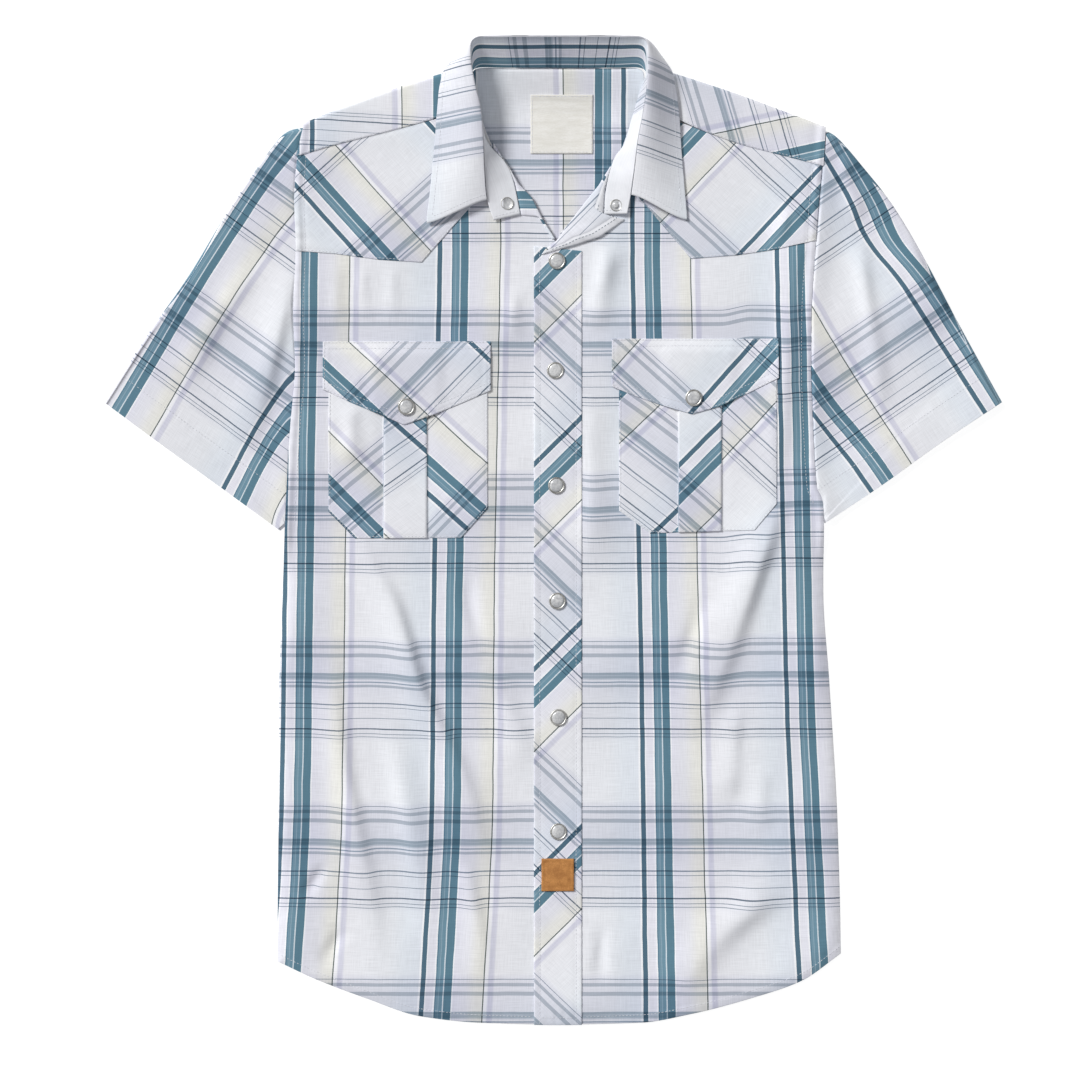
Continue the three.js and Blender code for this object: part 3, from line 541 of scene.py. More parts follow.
def coons(bottom: Array, top: Array, start: Array, end: Array, u: Array, v: Array) -> Array:
    """Blend a surface from its four edges (a Coons patch).

    Args:
        bottom: edge points along u at v 0.
        top: edge points along u at v 1.
        start: edge points along v at u 0.
        end: edge points along v at u 1.
        u: places of the columns.
        v: places of the rows.

    Returns:
        Points in rows of v and columns of u.
    """
    uu = u[None, :, None]
    vv = v[:, None, None]
    ruled = (1 - vv) * bottom[None] + vv * top[None]
    ruled = ruled + (1 - uu) * start[:, None] + uu * end[:, None]
    corners = (1 - uu) * (1 - vv) * bottom[0] + uu * (1 - vv) * bottom[-1]
    corners = corners + (1 - uu) * vv * top[0] + uu * vv * top[-1]
    return ruled - corners


def places(count: int, span: float) -> Array:
    """Grid places from 0 to 1 over a span in mm, closer together near both ends for round edges."""
    near = EDGE_STEPS[EDGE_STEPS < 0.2 * span] / span
    inner = near[-1] * 1.25
    return np.concatenate([near, np.linspace(inner, 1 - inner, count), 1 - near[::-1]])


def travelled(grid: Array) -> Array:
    """Length in mm from the first row of a grid to each of its points, along the columns."""
    steps = np.linalg.norm(np.diff(grid, axis=0), axis=-1)
    return np.concatenate([np.zeros((1, grid.shape[1])), np.cumsum(steps, axis=0)])


def edge_distance(plan: Array) -> Array:
    """Distance in mm from each point of a grid to its nearest border, measured along the grid."""
    across = travelled(plan[..., :2].transpose(1, 0, 2)).T
    along = travelled(plan[..., :2])
    sides = np.minimum(across, across[:, -1:] - across)
    return np.minimum(sides, np.minimum(along, along[-1:] - along))


def rounded(distance: Array, radius: float) -> Array:
    """Drop of a rounded edge: radius at the border, 0 at one radius from it, on a quarter circle."""
    t = 1 - np.clip(distance / radius, 0, 1)
    return radius * (1 - np.sqrt(1 - t * t))


def normals(points: Array, ring: bool = False) -> Array:
    """Unit normals of a grid: the cross product of its two central differences."""
    if ring:
        across = np.roll(points, -1, axis=1) - np.roll(points, 1, axis=1)
    else:
        across = np.gradient(points, axis=1)
    normal = np.cross(across, np.gradient(points, axis=0))
    return normal / np.maximum(np.linalg.norm(normal, axis=-1, keepdims=True), 1e-9)


def ripples(x: Array, y: Array) -> Array:
    """Slow unevenness of cloth that lies loose: five sine waves crossing, about a mm in all."""
    wave = 0.34 * np.sin(x / 13.0 + 0.9 * np.sin(y / 41.0))
    wave = wave + 0.36 * np.sin((0.8 * x + 0.6 * y) / 17.0 + 1.3)
    wave = wave + 0.42 * np.sin((x - 1.3 * y) / 24.0 + 0.7 * np.sin(x / 33.0))
    wave = wave + 0.10 * np.sin(y / 8.5 + 1.9 * np.sin(x / 27.0))
    return wave + 0.08 * np.sin((x + y) / 6.1 + np.sin(y / 19.0))


def pucker(along: Array, distance: Array, reach: float, height: float, pitch: float) -> Array:
    """Small gathers beside a seam: uneven waves along it that fade away from it."""
    phase = along / pitch * 2 * np.pi
    wave = np.sin(phase + 1.3 * np.sin(phase * 0.31)) * (0.7 + 0.3 * np.sin(phase * 0.17 + 1.0))
    return height * wave * np.exp(-np.abs(distance) / reach)


def front_height(x: Array, y: Array) -> Array:
    """Outer face of the fronts above the surface: lift, sinking edges, arm, neck and creases."""
    side = np.where(x < 0, read(SIDES, "y", "left", y), read(SIDES, "y", "right", y))
    edge = np.abs(side) - np.abs(x)
    armhole = smooth(y, -ARMPIT_SOFT, 0.0)
    hem = y - read(HEM, "x", "y", x)
    sink_side = (1 - armhole) * (1 - np.clip(edge / SIDE_WIDTH, 0, 1)) ** 2
    sink_hem = (1 - np.clip(hem / HEM_WIDTH, 0, 1)) ** 2
    lift = FRONT_LIFT - (FRONT_LIFT - REST_EDGE) * np.maximum(sink_side, 0.75 * sink_hem)
    arm = ARM_RISE * (1 - smooth(edge, 4, ARM_WIDTH))
    roll = 0.8 * bell(edge - 2.6, 2.2) - 0.35 * bell(edge - ARM_STITCH + 0.6, 1.8)
    neck = NECK_RISE * bell(np.hypot(np.abs(x) - NECK_POINT[0], y - NECK_POINT[1]), NECK_SPREAD)
    loose = smooth(edge, 0, 10) * smooth(hem, 0, 12)
    folds = (sum(crease.rise(x, y) for crease in FRONT_CREASES) + ripples(x, y)) * loose
    turned = 0.35 * (1 - smooth(hem, HEM_FOLD - 0.6, HEM_FOLD + 0.6))
    gathers = pucker(y, np.abs(x) - PLACKET_HALF, 4.0, 0.22, 9.0)
    gathers = gathers + pucker(y, edge, 5.0, 0.45, 12.0) * armhole
    gathers = gathers + pucker(y, edge - 3, 4.0, 0.25, 10.0) * (1 - armhole)
    gathers = gathers + pucker(x, hem - HEM_FOLD, 4.0, 0.22, 8.0)
    return lift + (arm + roll) * armhole + neck + folds + turned + gathers


def front_plaid(x: Array, y: Array) -> Array:
    """Plaid places on the fronts: stripes lean a little with height, weft groups sag with folds."""
    sides = []
    for side in ("left", "right"):
        centre = read(STRIPE_LEAN[side], "y", "centre", y)
        repeat = read(STRIPE_LEAN[side], "y", "repeat", y)
        sides.append((x - centre) / repeat * WARP_REPEAT + 16.1)
    u = np.where(x < 0, sides[0], sides[1])
    step = 4.0 * smooth(x, 126, 152) * smooth(y, -150, -40) * (x > 0)
    swell = sum(crease.rise(x, y) for crease in FRONT_CREASES)
    s = read(WEFT_GROUPS, "y", "group", y - step) * WEFT_REPEAT - 0.45 * swell
    return np.stack([u, s], axis=-1)


# Colours of the woven plaid, charted from the stripes: soft grounds with their place in
# the repeat, and crisp stripes that each start there and run to the next
WARP_GROUND = """
0 #E6EBF2  4.6 #E6EBF2  5.2 #FBFCFE  10.6 #FBFCFE  11.2 #EAEAF2  16.4 #ECECF4  17 #FBFCFE
31.2 #FBFCFE  31.8 #E6E6F0  42 #EAEAEF  48 #EEEDE9  54 #EDECE4  55.8 #FAFAFC  58.2 #F6F6FA
59.2 #D8D8E6  62.4 #DCDCE8  63.6 #F0F0F4  98 #EEF0F4  110 #E8EDF3  116.9 #E6EBF2
"""
WARP_STRIPES = """
0 #FFFFFF  6.1 #567485  9.9 #FFFFFF  17.75 #5F8497  18.6 #7B9BAA  20.2 #9AB3BF  20.6 #7598A8  23.4 #DDE6EA  24.4 #608595  30.4 #FFFFFF
54.7 #6A736F  55.7 #FFFFFF
"""
WEFT_GROUND = """
0 #FFFFFF  2 #F8F8FB  5 #F2F2F7  29 #EDEEF4  41 #F0F0F5  52 #F6F6F9  80 #F8F8FA  84 #FFFFFF
129 #FFFFFF
"""
WEFT_STRIPES = """
0 #FFFFFF  3.6 #98A3AE  4.3 #FFFFFF  6.8 #CBD1D5  9.3 #FFFFFF  13.2 #CBD1D5  16.4 #FFFFFF
28.8 #B7C3C9  30.4 #D3DBDF  31.1 #B9C5CB  33.1 #DCE2E6  34.3 #FFFFFF  35.9 #A9B6C1  36.9 #FFFFFF  38.4 #C8CFD4  40.4 #FFFFFF
52.5 #98A3AE  53.2 #FFFFFF  55.8 #98A3AE  56.5 #FFFFFF  64.4 #98A3AE  65.1 #FFFFFF
72.5 #75828F  73.5 #FFFFFF  76.4 #98A3AE  77.1 #FFFFFF  79.1 #98A3AE  79.8 #FFFFFF
"""


def linear(colour: str) -> tuple[float, float, float, float]:
    """An sRGB colour such as #F2F2F6 as linear red, green, blue and alpha."""
    parts = np.array([int(colour[i : i + 2], 16) / 255 for i in (1, 3, 5)])
    low = parts / 12.92
    high = ((parts + 0.055) / 1.055) ** 2.4
    red, green, blue = np.where(parts <= 0.04045, low, high)
    return (float(red), float(green), float(blue), 1.0)


class Shading:
    """A material in the making."""

    def __init__(self, name: str) -> None:
        """Start an empty material of this name."""
        self.material = bpy.data.materials.new(name)
        self.material.use_nodes = True
        self.tree = self.material.node_tree
        self.tree.nodes.clear()

    def add(self, kind: str, output: int | str = 0, settings: dict | None = None, **links: object) -> Socket:
        """Add a shader node.

        Args:
            kind: the node's type after ShaderNode.
            output: the output wanted, by place or name.
            settings: properties to set on the node.
            links: inputs by name, with _ for a blank, or by in0, in1 and so on. A socket is
                linked, any other value is set.

        Returns:
            The wanted output.
        """
        made = self.tree.nodes.new("ShaderNode" + kind)
        for key, value in (settings or {}).items():
            setattr(made, key, value)
        for key, value in links.items():
            place = int(key[2:]) if key[:2] == "in" and key[2:].isdigit() else key.replace("_", " ")
            socket = made.inputs[place]
            if isinstance(value, Socket):
                self.tree.links.new(value, socket)
            else:
                socket.default_value = value
        return made.outputs[output]

    def math(self, operation: str, *values: Socket | float) -> Socket:
        """Add a maths node over up to three values."""
        links = {f"in{i}": value for i, value in enumerate(values)}
        return self.add("Math", 0, {"operation": operation}, **links)

    def times(self, first: Socket, second: Socket) -> Socket:
        """Multiply two colours."""
        settings = {"data_type": "RGBA", "blend_type": "MULTIPLY"}
        return self.add("Mix", 2, settings, in0=1.0, in6=first, in7=second)

    def chart(self, text: str, repeat: float, place: Socket, blend: str) -> Socket:
        """Colour ramp of woven stripes, read at a place that runs from 0 to 1 over a repeat."""
        words = text.split()
        ramp = self.add("ValToRGB", 0, in0=place)
        ramp.node.color_ramp.interpolation = blend
        stops = ramp.node.color_ramp.elements
        stops.remove(stops[1])
        stops[0].color = linear(words[1])
        for start, colour in zip(words[2::2], words[3::2]):
            stops.new(float(start) / repeat).color = linear(colour)
        return ramp

    def finish(self, **links: object) -> bpy.types.Material:
        """Close with a principled surface of these inputs and give the material."""
        surface = self.add("BsdfPrincipled", 0, **links)
        self.add_output(surface)
        return self.material

    def add_output(self, surface: Socket) -> None:
        """Link a surface to the material's output."""
        made = self.tree.nodes.new("ShaderNodeOutputMaterial")
        self.tree.links.new(surface, made.inputs["Surface"])


class Grain(Enum):
    """How a plaid piece is cut."""

    STRAIGHT = "yarn-dyed cotton poplin, straight grain"
    BIAS = "yarn-dyed cotton poplin, bias cut"


@dataclass(frozen=True)
class PlaidPoplin:
    """Yarn-dyed plaid cotton poplin, washed: dull, soft, with faint slubs along both yarns."""

    yarn_mm: float = 0.55  # drawn coarser than the real 0.25 mm, so that it shows
    slub_mm: float = 16.0
    roughness: float = 0.86
    sheen: float = 0.12

    def make(self, grain: Grain) -> bpy.types.Material:
        """Make the material, whose UV map holds stripe and weft places in metres.

        Args:
            grain: straight or bias cut, which names the material.

        Returns:
            The material.
        """
        paint = Shading(grain.value)
        flat = {"noise_dimensions": "2D"}
        cloth = paint.add("UVMap", 0, {"uv_map": "cloth"})
        waver = paint.add("TexNoise", "Color", flat, Vector=cloth, Scale=26.0, Detail=2.0)
        centred = paint.add("VectorMath", 0, {"operation": "SUBTRACT"}, in0=waver, in1=(0.5, 0.5, 0.5))
        small = {"operation": "MULTIPLY_ADD"}
        moved = paint.add("VectorMath", 0, small, in0=centred, in1=(0.0011, 0.0011, 0.0), in2=cloth)
        split = paint.add("SeparateXYZ", 0, Vector=moved).node.outputs
        spots = []
        for axis, repeat, start in ((0, WARP_REPEAT, WARP_START), (1, WEFT_REPEAT, WEFT_START)):
            scaled = paint.math("MULTIPLY_ADD", split[axis], 1 / (repeat * MM), start / repeat + 40.0)
            spots.append(paint.math("FRACT", scaled))
        woven = paint.times(
            paint.chart(WARP_GROUND, WARP_REPEAT, spots[0], "LINEAR"),
            paint.chart(WARP_STRIPES, WARP_REPEAT, spots[0], "CONSTANT"),
        )
        woven = paint.times(woven, paint.chart(WEFT_GROUND, WEFT_REPEAT, spots[1], "LINEAR"))
        woven = paint.times(woven, paint.chart(WEFT_STRIPES, WEFT_REPEAT, spots[1], "CONSTANT"))
        yarns = []
        for stretch in ((self.yarn_mm, self.slub_mm), (self.slub_mm, self.yarn_mm)):
            scale = (1 / (stretch[0] * MM), 1 / (stretch[1] * MM), 1.0)
            mapping = paint.add("Mapping", 0, Vector=cloth, Scale=scale)
            yarns.append(paint.add("TexNoise", 0, flat, Vector=mapping, Scale=1.0, Detail=2.0))
        both = paint.math("ADD", *yarns)
        slub = paint.add("MapRange", 0, Value=both, From_Min=0.7, From_Max=1.3, To_Min=0.91, To_Max=1.04)
        tint = paint.add("CombineColor", 0, in0=slub, in1=slub, in2=slub)
        weave = paint.add("Bump", 0, Strength=0.35, Distance=0.00012, Height=both)
        return paint.finish(
            Base_Color=paint.times(woven, tint),
            Roughness=self.roughness,
            Sheen_Weight=self.sheen,
            Sheen_Roughness=0.5,
            Specular_IOR_Level=0.25,
            Normal=weave,
        )


@dataclass(frozen=True)
class Grained:
    """A finish of one colour with a fine noise in colour, roughness and relief."""

    name: str
    colour: str
    dark: str
    roughness: float
    metallic: float = 0.0
    grain_mm: float = 0.6
    relief_mm: float = 0.05
    coat: float = 0.0
    stretch: tuple[float, float, float] = (1.0, 1.0, 1.0)
    glow: float = 0.0

    def make(self) -> bpy.types.Material:
        """Make the material on Object coordinates."""
        paint = Shading(self.name)
        where = paint.add("TexCoord", "Object")
        mapping = paint.add("Mapping", 0, Vector=where, Scale=self.stretch)
        scale = 1 / (self.grain_mm * MM)
        grain = paint.add("TexNoise", 0, Vector=mapping, Scale=scale, Detail=3.0)
        patches = paint.add("TexNoise", 0, Vector=mapping, Scale=0.15 * scale, Detail=2.0)
        both = paint.math("MULTIPLY", grain, patches)
        share = paint.add("MapRange", 0, Value=both, From_Min=0.12, From_Max=0.38)
        ends = {"in6": linear(self.dark), "in7": linear(self.colour)}
        low = max(self.roughness - 0.08, 0.05)
        return paint.finish(
            Base_Color=paint.add("Mix", 2, {"data_type": "RGBA"}, in0=share, **ends),
            Roughness=paint.add("MapRange", 0, Value=patches, To_Min=low, To_Max=self.roughness + 0.08),
            Metallic=self.metallic,
            Coat_Weight=self.coat,
            Coat_Roughness=0.12,
            Emission_Color=(1.0, 1.0, 1.0, 1.0),
            Emission_Strength=self.glow,
            Normal=paint.add("Bump", 0, Strength=0.5, Distance=self.relief_mm * MM, Height=grain),
        )


# Polyester sewing thread, off-white, slightly lustrous and wound from fine plies
THREAD = Grained("spun polyester sewing thread", "#F0F0F3", "#CFD1D8", 0.6, grain_mm=0.3)
# The same thread in slate, as painted shade: the dashed line beside the lapel's edge, drawn dark for the shadow in
# its stitch groove
DARK_SHADE_THREAD = Grained("spun polyester sewing thread, slate", "#7E8C98", "#5A6874", 0.6, grain_mm=0.3)
# Pearlised polyester snap cap: milky, clouded, with a clear glossy skin
PEARL = Grained("pearlised polyester snap cap", "#DADAD9", "#A9ABAE", 0.25, grain_mm=1.6, coat=0.6, relief_mm=0.0)
# Nickel-plated brass rim, bright, with soft wear
NICKEL = Grained("nickel-plated brass rim", "#DEDDD8", "#ACAAA5", 0.4, metallic=1.0, grain_mm=0.8, relief_mm=0.01)
# Vegetable-tanned leather: tan, fine-grained, dull with a waxed touch
LEATHER = Grained("vegetable-tanned leather", "#CB8D4C", "#A56C33", 0.62, grain_mm=0.7, relief_mm=0.12)
# Woven satin tape of the neck label: cream, fine ribs across
TAPE = Grained("woven polyester satin tape", "#F4F2EC", "#E6E3DA", 0.7, relief_mm=0.02, stretch=(0.3, 1.6, 1.0))
# Opal acrylic of a light table: it glows, so the cloth throws only a faint shadow on it
ACRYLIC = Grained("opal acrylic light table", "#848484", "#828282", 0.9, grain_mm=3.0, relief_mm=0.0, glow=0.9)


def build_mesh(name: str, points: Array, faces: Array, uv: Array | None = None) -> bpy.types.Object:
    """Make an object from points in mm, faces as rows of indices and plaid places in mm.

    The faces are turned if the enclosed volume, the sum of a.(b x c) over all triangles, is
    negative, so that they point outwards.
    """
    a, b, c = (points[faces[:, k]] for k in range(3))
    volume = np.einsum("ij,ij->", a, np.cross(b, c))
    if faces.shape[1] == 4:
        volume += np.einsum("ij,ij->", a, np.cross(c, points[faces[:, 3]]))
    if volume < 0:
        faces = faces[:, ::-1]
    mesh = bpy.data.meshes.new(name)
    count, corners = faces.shape
    mesh.vertices.add(len(points))
    mesh.vertices.foreach_set("co", (points * MM).astype(np.float32).ravel())
    mesh.loops.add(count * corners)
    mesh.loops.foreach_set("vertex_index", faces.astype(np.int32).ravel())
    mesh.polygons.add(count)
    mesh.polygons.foreach_set("loop_start", np.arange(0, count * corners, corners, dtype=np.int32))
    mesh.polygons.foreach_set("loop_total", np.full(count, corners, dtype=np.int32))
    mesh.update(calc_edges=True)
    mesh.polygons.foreach_set("use_smooth", np.ones(count, dtype=bool))
    if uv is not None:
        layer = mesh.uv_layers.new(name="cloth")
        layer.data.foreach_set("uv", (uv[faces.ravel()] * MM).astype(np.float32).ravel())
    mesh.validate()
    made = bpy.data.objects.new(name, mesh)
    bpy.context.scene.collection.objects.link(made)
    return made


def shell_faces(rows: int, columns: int, ring: bool) -> Array:
    """Quads of a closed shell between an outer and an inner grid, with strips round its borders."""
    index = np.arange(2 * rows * columns).reshape(2, rows, columns)
    if ring:
        index = np.concatenate([index, index[:, :, :1]], axis=2)
    outer, inner = index
    parts = [
        (outer[:-1, :-1], outer[:-1, 1:], outer[1:, 1:], outer[1:, :-1]),
        (inner[:-1, :-1], inner[1:, :-1], inner[1:, 1:], inner[:-1, 1:]),
        (outer[0, :-1], inner[0, :-1], inner[0, 1:], outer[0, 1:]),
        (outer[-1, :-1], outer[-1, 1:], inner[-1, 1:], inner[-1, :-1]),
    ]
    if not ring:
        parts.append((outer[:-1, 0], outer[1:, 0], inner[1:, 0], inner[:-1, 0]))
        parts.append((outer[:-1, -1], inner[:-1, -1], inner[1:, -1], outer[1:, -1]))
    return np.concatenate([np.stack([side.ravel() for side in part], axis=1) for part in parts])


@dataclass(frozen=True)
class Cut:
    """Flat size of a piece as it was cut, without turnings: width, length and area in metres."""

    width: float
    length: float
    area: float
    rests_on: tuple[str, ...] = ()


@dataclass
class Tailor:
    """Keeps the finishes and the outer grids, and joins each finished piece to the frame."""

    straight: bpy.types.Material
    bias: bpy.types.Material
    log: logging.Logger
    grids: dict[str, Array] = field(default_factory=dict)
    sewing: dict[str, bpy.types.Object] = field(default_factory=dict)

    def fit(
        self, piece: bpy.types.Object, material: bpy.types.Material, nodes: Sequence[str] = ()
    ) -> None:
        """Give a piece its material and slot, let it ride, and put it in place of CAD nodes.

        Args:
            piece: the finished object.
            material: its material.
            nodes: CAD nodes that it stands for.
        """
        if not piece.data.materials:
            piece.data.materials.append(material)
        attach(piece, "root")
        if nodes:
            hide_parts(*nodes)
        self.log.info("%s: %d faces", piece.name, len(piece.data.polygons))

    def shell(
        self,
        name: str,
        outer: Array,
        inner: Array,
        uv: Array,
        grain: Grain = Grain.STRAIGHT,
        ring: bool = False,
        inside: Array | None = None,
    ) -> None:
        """Make a closed cloth shell between two grids, in place of the CAD node of its name.

        Args:
            name: the CAD node.
            outer: grid of the outer face, in mm.
            inner: grid of the inner face, in mm.
            uv: plaid places of the outer face, in mm.
            grain: straight or bias cut.
            ring: whether the columns close into a tube.
            inside: plaid places of the inner face, where they differ.
        """
        faces = shell_faces(outer.shape[0], outer.shape[1], ring)
        points = np.concatenate([outer.reshape(-1, 3), inner.reshape(-1, 3)])
        behind = uv if inside is None else inside
        plaid = np.concatenate([uv.reshape(-1, 2), behind.reshape(-1, 2)])
        piece = build_mesh(f"cloth_{name}", points, faces, plaid)
        self.grids[name] = outer
        if grain is Grain.BIAS:
            self.fit(piece, self.bias, [name])
        else:
            self.fit(piece, self.straight, [name])


@dataclass
class LaidPiece:
    """A flat-cut piece that lies on the fronts, carried up by a number of layers."""

    name: str
    plan: Array
    uv: Array
    layers: Array | float = 1.0
    grain: Grain = Grain.BIAS
    raised: Array | float = 0.0
    turned: float = 1.0
    seams: tuple[float, ...] = ()

    def build(self, tailor: Tailor) -> None:
        """Build the shell: outer face on the fronts' height plus its layers, edges rounded over."""
        x = self.plan[..., 0]
        y = self.plan[..., 1]
        bare = front_height(x, y)
        layers = self.layers + 0 * x
        away = edge_distance(self.plan)
        pulled = sum(0.22 * bell(away - seam, 1.2) for seam in self.seams)
        height = bare + LAYER * layers + self.raised - pulled
        drop = rounded(away, self.turned) * 0.6
        outer = np.stack([x, y, height - drop], axis=-1)
        under = np.where(layers > 0, bare + LAYER * (layers - 1) + 0.12, height - CLOTH)
        under = np.minimum(under, np.where(layers > 0, height - drop - 0.15, height - CLOTH))
        tailor.shell(self.name, outer, np.stack([x, y, under], axis=-1), self.uv, self.grain)


@dataclass
class Fronts:
    """The two front panels, hem to shoulder seam."""

    across: int = 74
    along: int = 226
    low_in: tuple[float, float] = (8.0, 10.0)
    top_in: float = 62.2
    top_out: tuple[float, float] = (-203.4, 206.2)

    def build(self, tailor: Tailor) -> None:
        """Build both panels as shells over Coons patches of their four edges."""
        for number, side in enumerate(("left", "right")):
            inner_top = (-1, 1)[number] * self.top_in
            outer_low = float(read(SIDES, "y", side, np.array(-336.0)))
            u = places(self.across, 210.0)
            v = places(self.along, 650.0)
            hem_x = mix(self.low_in[number], outer_low, u)
            bottom = np.stack([hem_x, read(HEM, "x", "y", hem_x)], axis=-1)
            seam_x = mix(inner_top, self.top_out[number], u)
            top = np.stack([seam_x, read(SHOULDER_SEAM, "x", "y", seam_x)], axis=-1)
            open_y = mix(bottom[0, 1], top[0, 1], v)
            open_x = read(OPENING, "y", side, open_y)
            open_x[-1] = inner_top
            edge_y = mix(bottom[-1, 1], top[-1, 1], v)
            edge_x = read(SIDES, "y", side, edge_y)
            edge_x[0] = outer_low
            edge_x[-1] = self.top_out[number]
            start = np.stack([open_x, open_y], axis=-1)
            end = np.stack([edge_x, edge_y], axis=-1)
            plan = coons(bottom, top, start, end, u, v)
            uv = front_plaid(plan[..., 0], plan[..., 1])
            LaidPiece(f"front_{side}", plan, uv, 0.0, Grain.STRAIGHT, turned=0.45).build(tailor)


@dataclass
class FrontYokes:
    """The pointed western yokes, cut on the bias, over the top of each front."""

    across: int = 56
    along: int = 42

    def build(self, tailor: Tailor) -> None:
        """Build both yokes; their lower edge has corners at the rows of the table."""
        for side in ("left", "right"):
            rows = pick(YOKE_EDGE[side], "x y topX")
            knots = (len(rows) - 1) * 6
            u = np.unique(np.concatenate([places(self.across, 142.0), np.linspace(0, 1, knots + 1)]))
            v = places(self.along, 85.0)
            low = broken(rows, u)
            bottom = low[:, :2]
            top = np.stack([low[:, 2], read(SHOULDER_SEAM, "x", "y", low[:, 2]) - 0.4], axis=-1)
            start_y = mix(bottom[0, 1], top[0, 1], v)
            start_x = read(SIDES, "y", side, start_y)
            start_x[0] = bottom[0, 0]
            start_x[-1] = top[0, 0]
            start = np.stack([start_x, start_y], axis=-1)
            end_y = mix(bottom[-1, 1], top[-1, 1], v)
            bulge = np.sin(np.pi * v) * 2.2
            end_x = mix(bottom[-1, 0], top[-1, 0], v) * (1 - bulge / 62)
            end = np.stack([end_x, end_y], axis=-1)
            plan = coons(bottom, top, start, end, u, v)
            uv = LAYS[f"yoke_{side}"].at(plan[..., 0], plan[..., 1])
            LaidPiece(f"front_yoke_{side}", plan, uv, seams=(1.6,)).build(tailor)


@dataclass
class Lapels:
    """The turned-back top corners of the fronts, inner facing up."""

    across: int = 60
    band_rows: int = 9
    rows: int = 22

    def build(self, tailor: Tailor) -> None:
        """Build both lapels between the stand seam and the roll, puffed a little at the roll."""
        for side in ("left", "right"):
            u = places(self.across, 90.0)
            outer = broken(pick(LAPEL[side], "outX outY"), u)
            inner = broken(pick(LAPEL[side], "inX inY"), u)
            width = np.linalg.norm(inner - outer, axis=-1)
            band = np.minimum(LAPEL_BAND / width, 0.5)
            edge = np.linspace(0, 1, self.band_rows)[:, None] ** 1.4 * band[None]
            facing = mix(band[None] + 0.02, 1.0, 1 - np.linspace(1, 0, self.rows)[:, None] ** 1.4)
            v = np.concatenate([edge, facing])
            plan = mix(outer[None], inner[None], v[..., None])
            x, y = plan[..., 0], plan[..., 1]
            layers = 1.0 + 0 * x
            uv = LAYS[f"lapel_{side}"].at(x, y)
            puff = 0.8 * np.sin(np.pi * v) ** 0.7
            if side == "right":
                layers = layers + smooth(-y, -240, -230)
                uv[: self.band_rows] = LAYS["lapel_band"].at(x, y)[: self.band_rows]
                puff = 1.7 * np.sin(np.pi * v) ** 0.8 - 0.45 * bell((v - band[None]) * width[None], 1.1)
            puff = puff * np.sin(np.pi * u)[None, :] ** 0.5
            LaidPiece(f"lapel_{side}", plan, uv, layers, Grain.STRAIGHT, raised=puff).build(tailor)


@dataclass
class Placket:
    """The bias-cut snap placket from the hem to the top snap."""

    across: int = 16
    along: int = 280
    top: tuple[float, float] = (221.4, 217.6)

    def build(self, tailor: Tailor) -> None:
        """Build the strip; its lower end follows the hem."""
        u = places(self.across, 2 * PLACKET_HALF)
        v = places(self.along, 600.0)
        x = np.broadcast_to(mix(-PLACKET_HALF, PLACKET_HALF, u)[None], (len(v), len(u)))
        low = read(HEM, "x", "y", x) - 0.4
        y = mix(low, mix(self.top[0], self.top[1], u)[None], v[:, None])
        plan = np.stack([x, y], axis=-1)
        LaidPiece("placket", plan, LAYS["placket"].at(x, y), seams=(4.8,)).build(tailor)


@dataclass
class Pockets:
    """Patch pockets with a box pleat, and their pointed flaps."""

    along: int = 50

    def flap_layers(self, side: str, x: Array, y: Array) -> Array:
        """Layers under a flap: it rises from its seam and swells over the pleat."""
        rise = smooth(FLAP_TOP[side] - y, 0, 11)
        low, high = PLEAT[side]
        outside = np.maximum(np.maximum(low - x, x - high), 0)
        return 1 + rise * (1 + PLEAT_RISE * (1 - smooth(outside, 5, 17)))

    def build(self, tailor: Tailor) -> None:
        """Build each pocket and flap."""
        for side in ("left", "right"):
            self.build_pocket(tailor, side)
            self.build_flap(tailor, side)

    def build_pocket(self, tailor: Tailor, side: str) -> None:
        """Build a pocket: straight lower edges with cut corners, the pleat raised between."""
        rows = POCKET_LOW[side]
        low, high = PLEAT[side]
        first, last = rows["x"][0], rows["x"][-1]
        span = last - first
        marks = np.array([low - 0.5, low, low + 0.4, high - 0.4, high, high + 0.5, *rows["x"][1:-1]])
        u = np.unique(np.concatenate([places(54, span), (marks - first) / span]))
        v = places(self.along, 140.0)
        x = np.broadcast_to((first + span * u)[None], (len(v), len(u)))
        bottom = np.interp(x, rows["x"], rows["low"])
        y = mix(bottom, np.full_like(x, POCKET_TOP), v[:, None])
        plan = np.stack([x, y], axis=-1)
        pleat = smooth(x, low - 0.5, low + 0.4) * (1 - smooth(x, high - 0.4, high + 0.5)) * 0.9
        valley = -0.45 * (bell(x - low, 5) + bell(x - high, 5))
        sag = 0.25 * np.sin((x - low) / 6.0) * smooth(y, 10, 60) * (1 - smooth(y, 60, 110))
        parts = [LAYS[f"pocket_{side}_{k}"].at(x, y) for k in (1, 2, 3)]
        before = x[..., None] < low
        beyond = x[..., None] > high
        uv = np.where(before, parts[0], np.where(beyond, parts[2], parts[1]))
        raised = pleat + valley * (1 - pleat) + sag * pleat
        LaidPiece(f"pocket_{side}", plan, uv, raised=raised, seams=(1.6,)).build(tailor)

    def build_flap(self, tailor: Tailor, side: str) -> None:
        """Build a flap whose lower edge runs to a point at the snap."""
        rows = FLAP_LOW[side]
        first, last = rows["x"][0], rows["x"][-1]
        u = places(64, last - first)
        v = places(20, 50.0)
        x = np.broadcast_to((first + (last - first) * u)[None], (len(v), len(u)))
        y = mix(np.interp(x, rows["x"], rows["low"]), np.full_like(x, FLAP_TOP[side]), v[:, None])
        plan = np.stack([x, y], axis=-1)
        uv = LAYS[f"flap_{side}"].at(x, y)
        layers = self.flap_layers(side, x, y)
        LaidPiece(f"pocket_flap_{side}", plan, uv, layers, seams=(1.6, 6.6)).build(tailor)


